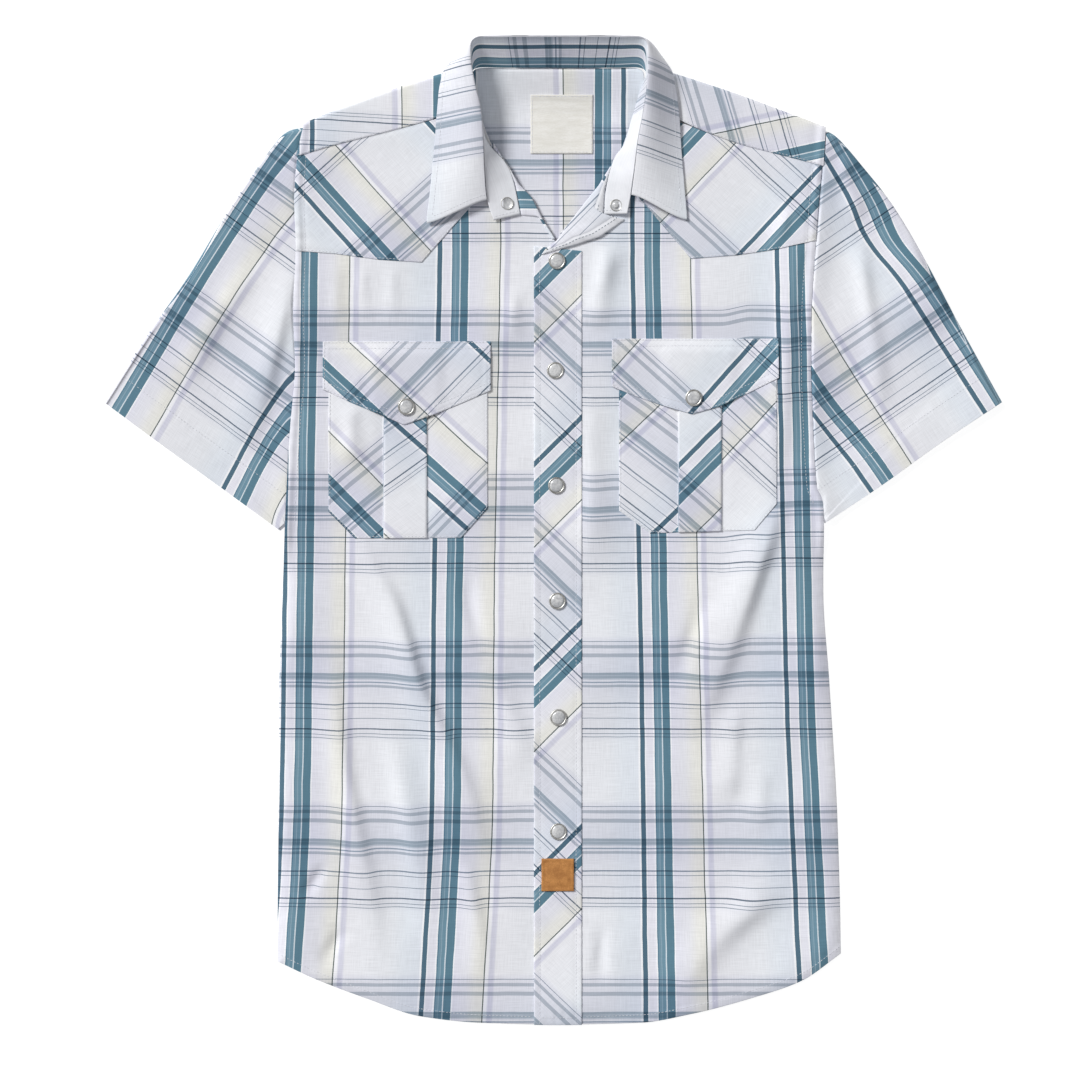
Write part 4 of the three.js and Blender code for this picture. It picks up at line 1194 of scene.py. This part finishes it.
@dataclass
class Back:
    """The back panel, flat on the surface, and the back yoke over both shoulders."""

    lap: float = 1.5

    def build_panel(self, tailor: Tailor) -> None:
        """Build the panel from the hem to the yoke seam, as wide as the shirt."""
        u = places(44, 430.0)
        v = places(60, 580.0)

        def side(name: str, y: Array) -> Array:
            """Edge of the panel: the side seam, and above the armpit the armhole line."""
            edge = read(SIDES, "y", name, y)
            column = "armLeft" if name == "left" else "armRight"
            inward = 0.6 if name == "left" else -0.6
            return mix(edge, read(SIDES, "y", column, y) + inward, smooth(y, -14, -4))

        ends = [float(side(name, np.array(-336.0))) for name in ("left", "right")]
        low = read(HEM, "x", "y", mix(ends[0], ends[1], u)) + 1.0
        y = mix(low[None], np.full((1, len(u)), BACK_SEAM - 0.3), v[:, None])
        x = mix(side("left", y), side("right", y), u[None])
        under = np.stack([x, y, np.zeros_like(x)], axis=-1)
        over = under + np.array([0.0, 0.0, 0.6])
        tailor.shell("back_panel", under, over, LAYS["back"].at(x, y))

    def build_yoke(self, tailor: Tailor) -> None:
        """Build the yoke: from the front seams over the shoulders, and up to the neck seam.

        Each column goes from its start straight to the fold, half round it, and down to the back
        seam on the surface; where the slope value is 1 it climbs from the seam to the neck
        instead, and between it is a blend of both. The front edge laps over the front yokes.
        """
        u = np.unique(np.concatenate([places(140, 600.0), np.linspace(0, 1, 21)]))
        start = through(pick(YOKE_COLUMNS, "x y z"), u)
        fold = through(pick(YOKE_COLUMNS, "foldX foldY slope"), u)
        low_x = through(pick(YOKE_COLUMNS, "lowX"), u)[:, 0]
        slope = np.clip(fold[:, 2], 0, 1)
        start[:, 1] -= self.lap * (1 - smooth(slope, 0, 0.2))
        height = front_height(fold[:, 0], fold[:, 1] - 8) + 1.2
        radius = height / 2
        lapped = front_height(start[:, 0], start[:, 1]) + LAYER + 0.65
        from_z = np.where(slope > 0.05, np.maximum(start[:, 2], height * (1 - slope * 2)), lapped)
        rows = []
        for t in np.concatenate([[0, 0.01, 0.025, 0.05], np.linspace(0.1, 1, 11)]):
            reach = fold[:, 1] - radius - start[:, 1]
            settle = rounded(np.abs(reach) * t, 1.0) * 0.6 * (slope < 0.05)
            rise = mix(from_z, height, smooth(t, 0, 1)) - settle
            rows.append([mix(start[:, 0], fold[:, 0], t), start[:, 1] + reach * t, rise])
        for angle in np.linspace(np.pi / 2, -np.pi / 2, 13)[1:]:
            y = fold[:, 1] - radius + radius * np.cos(angle)
            rows.append([fold[:, 0], y, radius + radius * np.sin(angle)])
        for t in np.linspace(0, 1, 26)[1:]:
            y = mix(fold[:, 1] - radius, BACK_SEAM, t)
            rows.append([mix(fold[:, 0], low_x, t), y, np.zeros_like(y)])
        over = np.stack([np.stack(row, axis=-1) for row in rows])
        t = np.linspace(0, 1, len(rows))[:, None]
        along = mix(359.6, BACK_SEAM, t) + (start[:, 1] - 359.6)[None] * (1 - t) ** 2
        climb = np.interp(along, NECK_SLOPE["y"], NECK_SLOPE["z"])
        climb[0] = start[:, 2]
        sloped = np.stack([mix(start[:, 0][None], low_x[None], t), along, climb], axis=-1)
        outer = mix(over, sloped, slope[None, :, None])
        least = read(SIDES, "y", "armLeft", outer[..., 1]) + 0.6
        most = read(SIDES, "y", "armRight", outer[..., 1]) - 0.6
        held = np.clip(outer[..., 0], least, most)
        outer[..., 0] = np.where(outer[..., 2] < 1.5, held, outer[..., 0])
        normal = normals(outer)
        inner = outer - normal * CLOTH * 1.2
        if inner[-3, len(u) // 2, 2] < 0:
            inner = outer + normal * CLOTH * 1.2
        inner[..., 2] = np.maximum(inner[..., 2], 0.0)
        unrolled = start[:, 1][None] + travelled(outer)
        left = LAYS["shoulder_left"].at(outer[..., 0], unrolled)
        right = LAYS["shoulder_right"].at(outer[..., 0], unrolled)
        plaid = np.where((u < 0.5)[None, :, None], left, right)
        inside = LAYS["inside"].at(inner[..., 0], inner[..., 1])
        tailor.shell("back_yoke", outer, inner, plaid, inside=inside)


@dataclass
class Sleeves:
    """Short set-in sleeves: flattened tubes, folded along their upper edge."""

    flat: int = 70
    along: int = 84
    turn: int = 7
    height: float = 4.2
    cuff_height: float = 5.4
    cuff_band: float = 25.0

    def build(self, tailor: Tailor) -> None:
        """Build both sleeves."""
        for side in ("left", "right"):
            self.build_one(tailor, side)

    def build_one(self, tailor: Tailor, side: str) -> None:
        """Build a tube of two layers over a Coons patch, with half circles at both folds.

        Args:
            tailor: joins the piece to the frame.
            side: left or right.
        """
        v = places(self.along, 250.0)
        across = np.linspace(0, 1, self.flat)
        fold = through(pick(SLEEVE_FOLD[side], "x y"), v)
        under = broken(pick(UNDERARM[side], "x y"), v)
        column = "armLeft" if side == "left" else "armRight"
        root_y = mix(fold[0, 1], under[0, 1], across)
        root_x = read(SIDES, "y", column, root_y)
        root_x[0] = fold[0, 0]
        root_x[-1] = under[0, 0]
        root = np.stack([root_x, root_y], axis=-1)
        cuff = through(pick(CUFF[side], "x y"), across)
        plan = coons(root, cuff, fold, under, across, v)
        width = np.linalg.norm(plan[:, -1] - plan[:, 0], axis=-1)
        swell = v[:, None] * (1 - smooth(across, 0.3, 0.8))[None]
        radius = mix(self.height, self.cuff_height, swell) / 2
        top = self.layer(plan, across, width, radius, 1.0)
        low = self.layer(plan, across, width, radius, -1.0)
        top[..., 2] += self.relief(side, top, root, across, v)
        outer = np.concatenate(
            [top, self.rim(plan, radius, -1), low[:, ::-1], self.rim(plan, radius, 0)], axis=1
        )
        normal = normals(outer, ring=True)
        sign = -1.0 if normal[:, : self.flat, 2].mean() > 0 else 1.0
        inner = outer + sign * normal * CLOTH * 1.1
        inner[..., 2] = np.maximum(inner[..., 2], 0.4)
        tailor.shell(f"sleeve_{side}", outer, inner, self.plaid(side, outer, v), ring=True)

    def relief(self, side: str, top: Array, root: Array, across: Array, v: Array) -> Array:
        """Height added to the upper layer: root slope, creases, gathers and the turned cuff.

        Args:
            side: left or right.
            top: grid of the upper layer.
            root: points of the armhole line.
            across: places from the fold to the underarm.
            v: places from the root to the cuff.

        Returns:
            The height at each point, low enough at the root to stay under the front's edge.
        """
        x, y, z = top[..., 0], top[..., 1], top[..., 2]
        fade = smooth(v, 0.0, 0.1)[:, None] * np.sin(np.pi * across)[None] ** 0.3
        total = (sum(crease.rise(x, y) for crease in SLEEVE_CREASES[side]) + ripples(x, y)) * fade
        root_place = np.concatenate([[0], np.cumsum(np.linalg.norm(np.diff(root, axis=0), axis=-1))])
        total += pucker(root_place[None], v[:, None] * 240.0 - 4, 9.0, 0.5, 13.0)
        cuff_gap = (1 - v)[:, None] * 250.0
        total += 0.3 * (1 - smooth(cuff_gap, self.cuff_band - 1, self.cuff_band + 0.2))
        total += pucker(across[None] * 170.0, cuff_gap - self.cuff_band, 5.0, 0.15, 9.0)
        beyond = np.abs(x) - np.abs(read(SIDES, "y", side, y))
        total += (1.3 if side == "left" else 2.4) * bell(np.maximum(beyond, 0), 11)
        most = front_height(x, y) - 0.65 + 1.2 * np.maximum(beyond, 0)
        return np.minimum(total, most - z)

    def layer(self, plan: Array, across: Array, width: Array, radius: Array, side: float) -> Array:
        """One layer of the tube, drawn in by a radius at both folds."""
        inset = radius / width[:, None]
        place = np.clip(across[None], inset, 1 - inset)
        index = place * (len(across) - 1)
        low = np.minimum(index.astype(int), len(across) - 2)
        share = (index - low)[..., None]
        rows = np.arange(len(plan))[:, None]
        flat = plan[rows, low] * (1 - share) + plan[rows, low + 1] * share
        return np.concatenate([flat, (radius + side * radius)[..., None]], axis=-1)

    def rim(self, plan: Array, radius: Array, column: int) -> Array:
        """Half circle round a fold: downwards at the last column, upwards again at the first."""
        angles = np.linspace(np.pi / 2, -np.pi / 2, self.turn + 2)[1:-1]
        edge = plan[:, column]
        toward = plan[:, 1 if column == 0 else -2] - edge
        toward = toward / np.linalg.norm(toward, axis=-1, keepdims=True)
        r = radius[:, column]
        arc = []
        for angle in angles[::-1] if column == 0 else angles:
            point = edge + toward * (r * (1 - np.cos(angle)))[:, None]
            arc.append(np.concatenate([point, (r + r * np.sin(angle))[:, None]], axis=-1))
        return np.stack(arc, axis=1)

    def plaid(self, side: str, outer: Array, v: Array) -> Array:
        """Plaid of the tube: as seen on the upper layer, unrolled round the outer fold below.

        Args:
            side: left or right.
            outer: grid of the tube.
            v: places along the sleeve.

        Returns:
            Stripe and weft places.
        """
        uv = LAYS[f"sleeve_{side}"].at(outer[..., 0], outer[..., 1])
        bow = 4.6 * np.sin(np.pi * v)[:, None]
        if side == "left":
            uv[..., 0] += bow
        else:
            y = outer[..., 1]
            gathered = smooth(-uv[..., 0], 70.0, 92.0) * smooth(-y, -125.0, -41.0)
            uv[..., 0] += 0.3 * bow + 5.0 * bell(y - 226.0, 22.0) - 9.5 * gathered
        mirrored = 2 * uv[:, :1, 0] - uv[..., 0]
        uv[:, self.flat + self.turn :, 0] = mirrored[:, self.flat + self.turn :]
        return uv


@dataclass
class Collar:
    """The collar stand round the neck and the leaf that turns over it."""

    def __post_init__(self) -> None:
        """Work out the stand and the leaf."""
        self.u = np.linspace(0, 1, 241)
        self.stand = self.stand_grid()
        self.leaf_u = np.linspace(1 / 18, 17 / 18, 217)
        self.leaf = self.leaf_grid()

    def stand_grid(self) -> Array:
        """Ruled surface from the neck seam to the roll."""
        seam = through(pick(COLLAR, "seamX seamY seamZ"), self.u)
        roll = through(pick(COLLAR, "rollX rollY rollZ"), self.u)
        return mix(seam[None], roll[None], places(12, 26.0)[:, None, None])

    def leaf_grid(self) -> Array:
        """Leaf: at each station a cubic Bezier curve from the roll, out, and down to the edge."""
        t = self.leaf_u
        roll = through(pick(COLLAR, "rollX rollY rollZ"), t)
        ahead = through(pick(COLLAR, "rollX rollY rollZ"), t + 0.01)
        ahead = ahead - through(pick(COLLAR, "rollX rollY rollZ"), t - 0.01)
        out = np.stack([-ahead[:, 1], ahead[:, 0], np.zeros(len(t))], axis=-1)
        out = out / np.linalg.norm(out, axis=-1, keepdims=True)
        edge = through(pick(COLLAR, "edgeX edgeY edgeZ"), t)
        bend = through(pick(COLLAR, "bow lift tuck hang"), t)
        up = np.array([0.0, 0.0, 1.0])
        first = roll + out * 0.4 + up * 1.7
        second = roll + out * bend[:, :1] + up * (1.4 + bend[:, 1:2])
        third = edge - out * bend[:, 2:3] + up * bend[:, 3:4]
        v = places(34, 60.0)[:, None, None]
        curve = first * (1 - v) ** 3 + second * 3 * v * (1 - v) ** 2
        curve = curve + third * 3 * v * v * (1 - v) + edge * v**3
        gathers = pucker(t * 420, v[..., 0] * 55 - 50, 6.0, 0.18, 9.0)
        curve[..., 2] += gathers * np.sin(np.pi * v[..., 0]) ** 0.2
        return curve

    def build(self, tailor: Tailor) -> None:
        """Build both pieces, each with its plaid."""
        across = travelled(self.stand)
        along = travelled(self.stand[0][:, None])
        drift = -50 * smooth(np.abs(self.u - 0.5), 0.1, 0.3)[None]
        plain = smooth(np.abs(self.u - 0.5), 0.16, 0.3)[None]
        weft = mix(0.96 * along.T - 17.0, 98.0 + 0.04 * along.T, plain) + 0 * across
        self.shape(tailor, "collar_stand", self.stand, np.stack([19.6 - across + drift, weft], axis=-1))
        t = self.leaf_u[None, :]
        x, y = self.leaf[..., 0], self.leaf[..., 1]
        left, back, right = (LAYS[f"wing_{part}"].at(x, y)[..., 1] for part in ("left", "back", "right"))
        weft = mix(mix(left, back, smooth(t, 0.33, 0.41)), right, smooth(t, 0.59, 0.67))
        uv = np.stack([62.0 + 0.85 * travelled(self.leaf), weft], axis=-1)
        self.shape(tailor, "collar_leaf", self.leaf, uv)

    def shape(self, tailor: Tailor, name: str, grid: Array, uv: Array) -> None:
        """Build one piece: its grid, thickened to the side away from the normal, edges rounded."""
        normal = normals(grid)
        drop = rounded(edge_distance(grid), 0.6)[..., None] * 0.5
        tailor.shell(name, grid - normal * drop, grid - normal * (0.9 - drop), uv)


def lathe(name: str, profile: Array, centre: tuple[float, float, float], sides: int = 40) -> bpy.types.Object:
    """Turn a profile of radius and height about a vertical axis, closed by a fan at both poles."""
    angles = np.linspace(0, 2 * np.pi, sides, endpoint=False)
    ring = np.stack([np.cos(angles), np.sin(angles), np.ones(sides)], axis=-1)
    body = ring[None] * profile[1:-1, [0, 0, 1]][:, None]
    poles = [[0, 0, profile[0, 1]], [0, 0, profile[-1, 1]]]
    points = np.concatenate([body.reshape(-1, 3), poles]) + np.array(centre)
    rows = len(body)
    index = np.arange(rows * sides).reshape(rows, sides)
    after = np.roll(index, -1, axis=1)
    quads = np.stack([index[:-1].ravel(), after[:-1].ravel(), after[1:].ravel(), index[1:].ravel()], axis=1)
    low = np.stack([np.full(sides, rows * sides), after[0], index[0]], axis=1)
    high = np.stack([np.full(sides, rows * sides + 1), index[-1], after[-1]], axis=1)
    return build_mesh(name, points, np.concatenate([quads[:, [0, 1, 2]], quads[:, [0, 2, 3]], low, high]))


SNAPS = (
    ("placket_snap_1", -0.8, 209.8, "placket"),
    ("placket_snap_2", -2.0, 124.4, "placket"),
    ("placket_snap_3", -1.2, 34.7, "placket"),
    ("placket_snap_4", -0.4, -55.4, "placket"),
    ("placket_snap_5", 0.4, -146.2, "placket"),
    ("placket_snap_6", 0.4, -235.2, "placket"),
    ("pocket_snap_left", -118.2, 96.0, "left"),
    ("pocket_snap_right", 105.8, 103.0, "right"),
    ("collar_snap_left", -39.7, 254.5, "socket"),
    ("collar_snap_right", 45.2, 253.0, "stud"),
)
CAP = """
radius z
0 0
6.0 0
6.5 0.25
6.65 0.8
6.5 1.35
6.05 1.7
5.55 1.6
5.25 1.25
5.1 1.2
5.0 1.5
4.5 1.9
3.4 2.15
2.0 2.27
0.9 2.3
0 2.3
"""
SOCKET = """
radius z
0 0
4.7 0
4.9 0.3
4.75 0.55
4.4 0.55
4.2 0.25
0.5 0.22
0 0.22
"""
STUD = """
radius z
0 0
4.5 0
4.7 0.3
4.55 0.55
4.2 0.5
4.0 0.2
2.3 0.15
2.1 0.9
1.7 1.2
0.4 1.3
0 1.3
"""


@dataclass
class Snaps:
    """Pearl caps in a metal rim on placket and flaps, and the open parts at the stand's ends."""

    pearl: bpy.types.Material
    metal: bpy.types.Material

    def paint(self, piece: bpy.types.Object, centre: tuple[float, float, float], dome: float) -> None:
        """Give the upper faces within the dome radius the pearl, all others the metal."""
        piece.data.materials.append(self.metal)
        piece.data.materials.append(self.pearl)
        middle = np.empty(len(piece.data.polygons) * 3, dtype=np.float32)
        piece.data.polygons.foreach_get("center", middle)
        middle = middle.reshape(-1, 3) / MM - np.array(centre)
        pearl = (np.hypot(middle[:, 0], middle[:, 1]) < dome) & (middle[:, 2] > 0.15)
        piece.data.polygons.foreach_set("material_index", pearl.astype(np.int32))

    def build(self, tailor: Tailor, collar: Collar) -> None:
        """Build every snap on the surface that carries it."""
        for name, x, y, on in SNAPS:
            at_x, at_y = np.array([x]), np.array([y])
            base = float(front_height(at_x, at_y)[0])
            profile, dome = table(CAP), 5.15
            if on == "placket":
                seat = base + LAYER - 0.1
            elif on in FLAP_TOP:
                seat = base + LAYER * float(Pockets().flap_layers(on, at_x, at_y)[0]) - 0.1
            else:
                near = np.hypot(collar.stand[..., 0] - x, collar.stand[..., 1] - y)
                seat = float(collar.stand[..., 2].ravel()[near.argmin()]) + 0.1
                profile, dome = (table(SOCKET), 4.1) if on == "socket" else (table(STUD), 3.9)
            centre = (x, y, seat)
            piece = lathe(f"cap_{name}", pick(profile, "radius z"), centre)
            self.paint(piece, centre, dome)
            tailor.fit(piece, self.metal, [name])


@dataclass
class Trims:
    """The leather patch and the neck label, both plain."""

    leather: bpy.types.Material
    tape: bpy.types.Material
    patch: tuple[float, float, float, float] = (-12.9, 12.5, -281.6, -256.2)
    label: tuple[float, float, float, float] = (-21.4, 27.2, 293.8, 339.6)

    def square(self, box: tuple[float, float, float, float]) -> tuple[Array, Array, Array]:
        """Grid over a rectangle, and the distance of each point from its nearest edge."""
        x1, x2, y1, y2 = box
        u = places(36, x2 - x1)
        x, y = np.meshgrid(x1 + (x2 - x1) * u, y1 + (y2 - y1) * u)
        return x, y, np.minimum(np.minimum(x - x1, x2 - x), np.minimum(y - y1, y2 - y))

    def sheet(self, name: str, x: Array, y: Array, over: Array, under: Array) -> bpy.types.Object:
        """Make a closed sheet between two heights."""
        points = [np.stack([x, y, z], axis=-1).reshape(-1, 3) for z in (over, under)]
        return build_mesh(name, np.concatenate(points), shell_faces(*x.shape, False))

    def build_patch(self, tailor: Tailor) -> None:
        """Build the square patch with a pressed double border line and rounded edges."""
        x, y, edge = self.square(self.patch)
        bare = front_height(x, y)
        pressed = 0.28 * (bell(edge - 2.6, 0.5) + bell(edge - 4.2, 0.45))
        over = bare + 2 * LAYER + 0.4 - pressed - rounded(edge, 0.8) * 0.6
        piece = self.sheet("trim_leather_patch", x, y, over, bare + LAYER + 0.12)
        tailor.fit(piece, self.leather, ["leather_patch"])

    def build_label(self, tailor: Tailor) -> None:
        """Build the label on the slope inside the back yoke, folded in at both ends."""
        x, y, edge = self.square(self.label)
        x1, x2, y1, y2 = self.label
        base = np.interp(y, NECK_SLOPE["y"], NECK_SLOPE["z"]) + 0.9
        wave = 0.25 * np.sin((x - x1) / 9.0) * np.sin(np.pi * (y - y1) / (y2 - y1))
        over = base + 0.8 + wave - rounded(edge, 0.6) * 0.7
        piece = self.sheet("cloth_neck_label", x, y, over, base + 0.1)
        tailor.grids["neck_label"] = np.stack([x, y, over], axis=-1)
        tailor.fit(piece, self.tape, ["neck_label"])


# Topstitching: piece, border that the row follows, distance from it, and the share that is sewn
STITCH_ROWS = (
    ("placket", "start", 4.8, 0.0, 1.0),
    ("placket", "end", 4.8, 0.0, 1.0),
    ("placket", "low", 6.4, 0.13, 0.87),
    ("front_yoke_left", "low", 1.6, 0.0, 1.0),
    ("front_yoke_right", "low", 1.6, 0.0, 1.0),
    ("front_yoke_left", "start", 8.0, 0.02, 0.99),
    ("front_yoke_right", "start", 8.0, 0.02, 0.99),
    ("front_left", "end", 8.0, 0.54, 0.872),
    ("front_right", "end", 8.0, 0.57, 0.892),
    ("front_left", "low", 6.4, 0.12, 1.0),
    ("front_right", "low", 6.4, 0.05, 1.0),
    ("back_yoke", "low", 1.5, 0.0, 0.262),
    ("back_yoke", "low", 1.5, 0.738, 1.0),
    ("pocket_left", "start", 1.6, 0.0, 0.8),
    ("pocket_left", "end", 1.6, 0.0, 0.8),
    ("pocket_left", "low", 1.6, 0.0, 1.0),
    ("pocket_right", "start", 1.6, 0.0, 0.8),
    ("pocket_right", "end", 1.6, 0.0, 0.8),
    ("pocket_right", "low", 1.6, 0.0, 1.0),
    ("pocket_flap_left", "low", 1.6, 0.0, 1.0),
    ("pocket_flap_left", "low", 7.0, 0.02, 0.98),
    ("pocket_flap_left", "start", 1.6, 0.0, 1.0),
    ("pocket_flap_left", "end", 1.6, 0.0, 1.0),
    ("pocket_flap_left", "high", 1.2, 0.0, 1.0),
    ("pocket_flap_left", "high", 6.0, 0.0, 1.0),
    ("pocket_flap_right", "low", 1.6, 0.0, 1.0),
    ("pocket_flap_right", "low", 7.0, 0.02, 0.98),
    ("pocket_flap_right", "start", 1.6, 0.0, 1.0),
    ("pocket_flap_right", "end", 1.6, 0.0, 1.0),
    ("pocket_flap_right", "high", 1.2, 0.0, 1.0),
    ("pocket_flap_right", "high", 6.0, 0.0, 1.0),
    ("collar_leaf", "high", 4.5, 0.01, 0.99),
    ("collar_leaf", "start", 4.5, 0.0, 0.93),
    ("collar_leaf", "end", 4.5, 0.0, 0.93),
    ("collar_stand", "start", 3.0, 0.0, 1.0),
    ("collar_stand", "end", 3.0, 0.0, 1.0),
    ("sleeve_left", "high", 25.0, 0.01, 0.47),
    ("sleeve_right", "high", 25.0, 0.01, 0.47),
    ("neck_label", "start", 1.5, 0.0, 1.0),
    ("neck_label", "end", 1.5, 0.0, 1.0),
    ("neck_label", "low", 1.5, 0.0, 1.0),
    ("neck_label", "high", 1.5, 0.0, 1.0),
    ("lapel_right", "band", 5.5, 0.3, 0.97),
)


@dataclass
class Topstitching:
    """Rows of single stitches, each a short thread that dips into the cloth at both ends."""

    thread: bpy.types.Material
    # Dark thread that paints the shade of a stitch groove
    painted_shade_thread: bpy.types.Material
    length: float = 2.2
    gap: float = 0.6
    width: float = 0.42
    height: float = 0.3

    def line(self, grid: Array, border: str, inset: float) -> Array:
        """Points along a grid where the length travelled from a border equals the inset."""
        turned = grid.transpose(1, 0, 2) if border in ("start", "end") else grid
        turned = turned[::-1] if border in ("high", "end") else turned
        travel = travelled(turned)
        i = np.clip((travel < inset).sum(axis=0) - 1, 0, len(travel) - 2)
        column = np.arange(turned.shape[1])
        step = np.maximum(travel[i + 1, column] - travel[i, column], 1e-6)
        share = np.clip((inset - travel[i, column]) / step, 0, 1)
        return mix(turned[i, column], turned[i + 1, column], share[:, None])

    def row(self, points: Array, nearby: Array, first: float, last: float) -> Array:
        """Stitches along a line, 14 corners each.

        Five stations lie on each stitch: its tips, sunk into the cloth, and three rings of four
        corners to the sides, up and down. Up is across both the run and the step to a second
        line on the cloth.

        Args:
            points: the line that is sewn.
            nearby: a second line on the same cloth, beside it.
            first: share of the line where the row starts.
            last: share where it ends.

        Returns:
            The corners of every stitch.
        """
        run = travelled(points[:, None])[:, 0]
        begin = run[-1] * first + 1.0
        count = int((run[-1] * last - 1.0 - begin) / (self.length + self.gap))
        at = begin + np.arange(count) * (self.length + self.gap)
        stations = at[:, None] + self.length * np.array([0, 0.2, 0.5, 0.8, 1.0])

        def along(line: Array) -> Array:
            """Places of the stations on a line."""
            return np.stack([np.interp(stations, run, line[:, k]) for k in range(3)], axis=-1)

        centre = along(points)
        ahead = centre[:, -1] - centre[:, 0]
        up = np.cross(ahead, along(nearby)[:, 2] - centre[:, 2])
        up = up / np.maximum(np.linalg.norm(up, axis=-1, keepdims=True), 1e-9)
        up = up * np.where(up[:, 2:] < 0, -1, 1)
        side = np.cross(up, ahead)
        side = side / np.maximum(np.linalg.norm(side, axis=-1, keepdims=True), 1e-9)
        lift = np.array([-0.12, 0.08, 0.14, 0.08, -0.12])[None, :, None]
        centre = centre + up[:, None] * lift
        corners = [centre[:, 0]]
        for k, size in ((1, 0.8), (2, 1.0), (3, 0.8)):
            corners.append(centre[:, k] + side * self.width / 2 * size)
            corners.append(centre[:, k] + up * self.height / 2 * size)
            corners.append(centre[:, k] - side * self.width / 2 * size)
            corners.append(centre[:, k] - up * self.height / 2 * size)
        corners.append(centre[:, 4])
        return np.stack(corners, axis=1)

    def faces(self, count: int) -> Array:
        """Triangles of that many stitches: fans at the tips, two belts between three rings."""
        rows = []
        for k in range(4):
            after = (k + 1) % 4
            rows.append([0, 1 + after, 1 + k])
            rows.append([13, 9 + k, 9 + after])
            for ring in (1, 5):
                rows.append([ring + k, ring + after, ring + 4 + after])
                rows.append([ring + k, ring + 4 + after, ring + 4 + k])
        return (np.arange(count)[:, None, None] * 14 + np.array(rows)[None]).reshape(-1, 3)

    def build(self, tailor: Tailor) -> None:
        """Build one object of stitches for each piece that has rows."""
        for name in dict.fromkeys(row[0] for row in STITCH_ROWS):
            grid = tailor.grids[name]
            parts = []
            for _, border, inset, first, last in (row for row in STITCH_ROWS if row[0] == name):
                if border == "band":
                    parts.append(self.row(grid[6], grid[8], first, last))
                else:
                    nearby = self.line(grid, border, inset + 1.5)
                    parts.append(self.row(self.line(grid, border, inset), nearby, first, last))
            stitches = np.concatenate(parts)
            piece = build_mesh(f"stitches_{name}", stitches.reshape(-1, 3), self.faces(len(stitches)))
            # The lapel's row gets the slate thread: painted shade of its stitch groove
            tailor.fit(piece, self.painted_shade_thread if name == "lapel_right" else self.thread)
            tailor.sewing[name] = piece


@dataclass
class Studio:
    """Light table, low sun-like key from the upper left, and the camera straight above."""

    centre: tuple[float, float] = (-0.0140, -0.0078)
    distance: float = 3.0
    frame_width: float = 0.8424
    sensor: float = 36.0
    to_key: tuple[float, float, float] = (-0.62, 0.48, 0.62)

    def build(self) -> None:
        """Build the floor, the lights and the camera."""
        corners = [[-3000, -3000, -0.1], [3000, -3000, -0.1], [3000, 3000, -0.1], [-3000, 3000, -0.1]]
        floor = build_mesh("studio_floor", np.array(corners, float), np.array([[0, 1, 2, 3]]))
        floor.data.materials.append(ACRYLIC.make())
        world = bpy.data.worlds.new("studio")
        world.use_nodes = True
        backdrop = world.node_tree.nodes["Background"]
        backdrop.inputs["Color"].default_value = linear("#FAFBFF")
        backdrop.inputs["Strength"].default_value = 0.36
        bpy.context.scene.world = world
        key = bpy.data.lights.new("key", "SUN")
        key.energy = 2.85
        key.angle = np.radians(16.0)
        lamp = bpy.data.objects.new("key", key)
        lamp.rotation_euler = Vector(self.to_key).to_track_quat("Z", "Y").to_euler()
        bpy.context.scene.collection.objects.link(lamp)
        camera = bpy.data.cameras.new("camera")
        camera.sensor_width = self.sensor
        camera.lens = self.sensor * self.distance / self.frame_width
        camera.clip_end = 20.0
        eye = bpy.data.objects.new("camera", camera)
        eye.location = (self.centre[0], self.centre[1], self.distance + FRONT_LIFT * MM)
        bpy.context.scene.collection.objects.link(eye)
        bpy.context.scene.camera = eye
        bpy.context.scene.view_settings.view_transform = "Standard"


def main() -> None:
    """Build every sub-assembly in order."""
    logging.basicConfig(level=logging.INFO, format="%(message)s")
    log = logging.getLogger("shirt")
    log.info("%d CAD nodes in the frame", len(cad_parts))
    finish = PlaidPoplin()
    tailor = Tailor(finish.make(Grain.STRAIGHT), finish.make(Grain.BIAS), log)
    Fronts().build(tailor)
    FrontYokes().build(tailor)
    Lapels().build(tailor)
    Placket().build(tailor)
    Pockets().build(tailor)
    back = Back()
    back.build_panel(tailor)
    back.build_yoke(tailor)
    Sleeves().build(tailor)
    collar = Collar()
    collar.build(tailor)
    Snaps(PEARL.make(), NICKEL.make()).build(tailor, collar)
    trims = Trims(LEATHER.make(), TAPE.make())
    trims.build_patch(tailor)
    trims.build_label(tailor)
    Topstitching(THREAD.make(), DARK_SHADE_THREAD.make()).build(tailor)
    Studio().build()


if __name__ == "__main__":
    main()
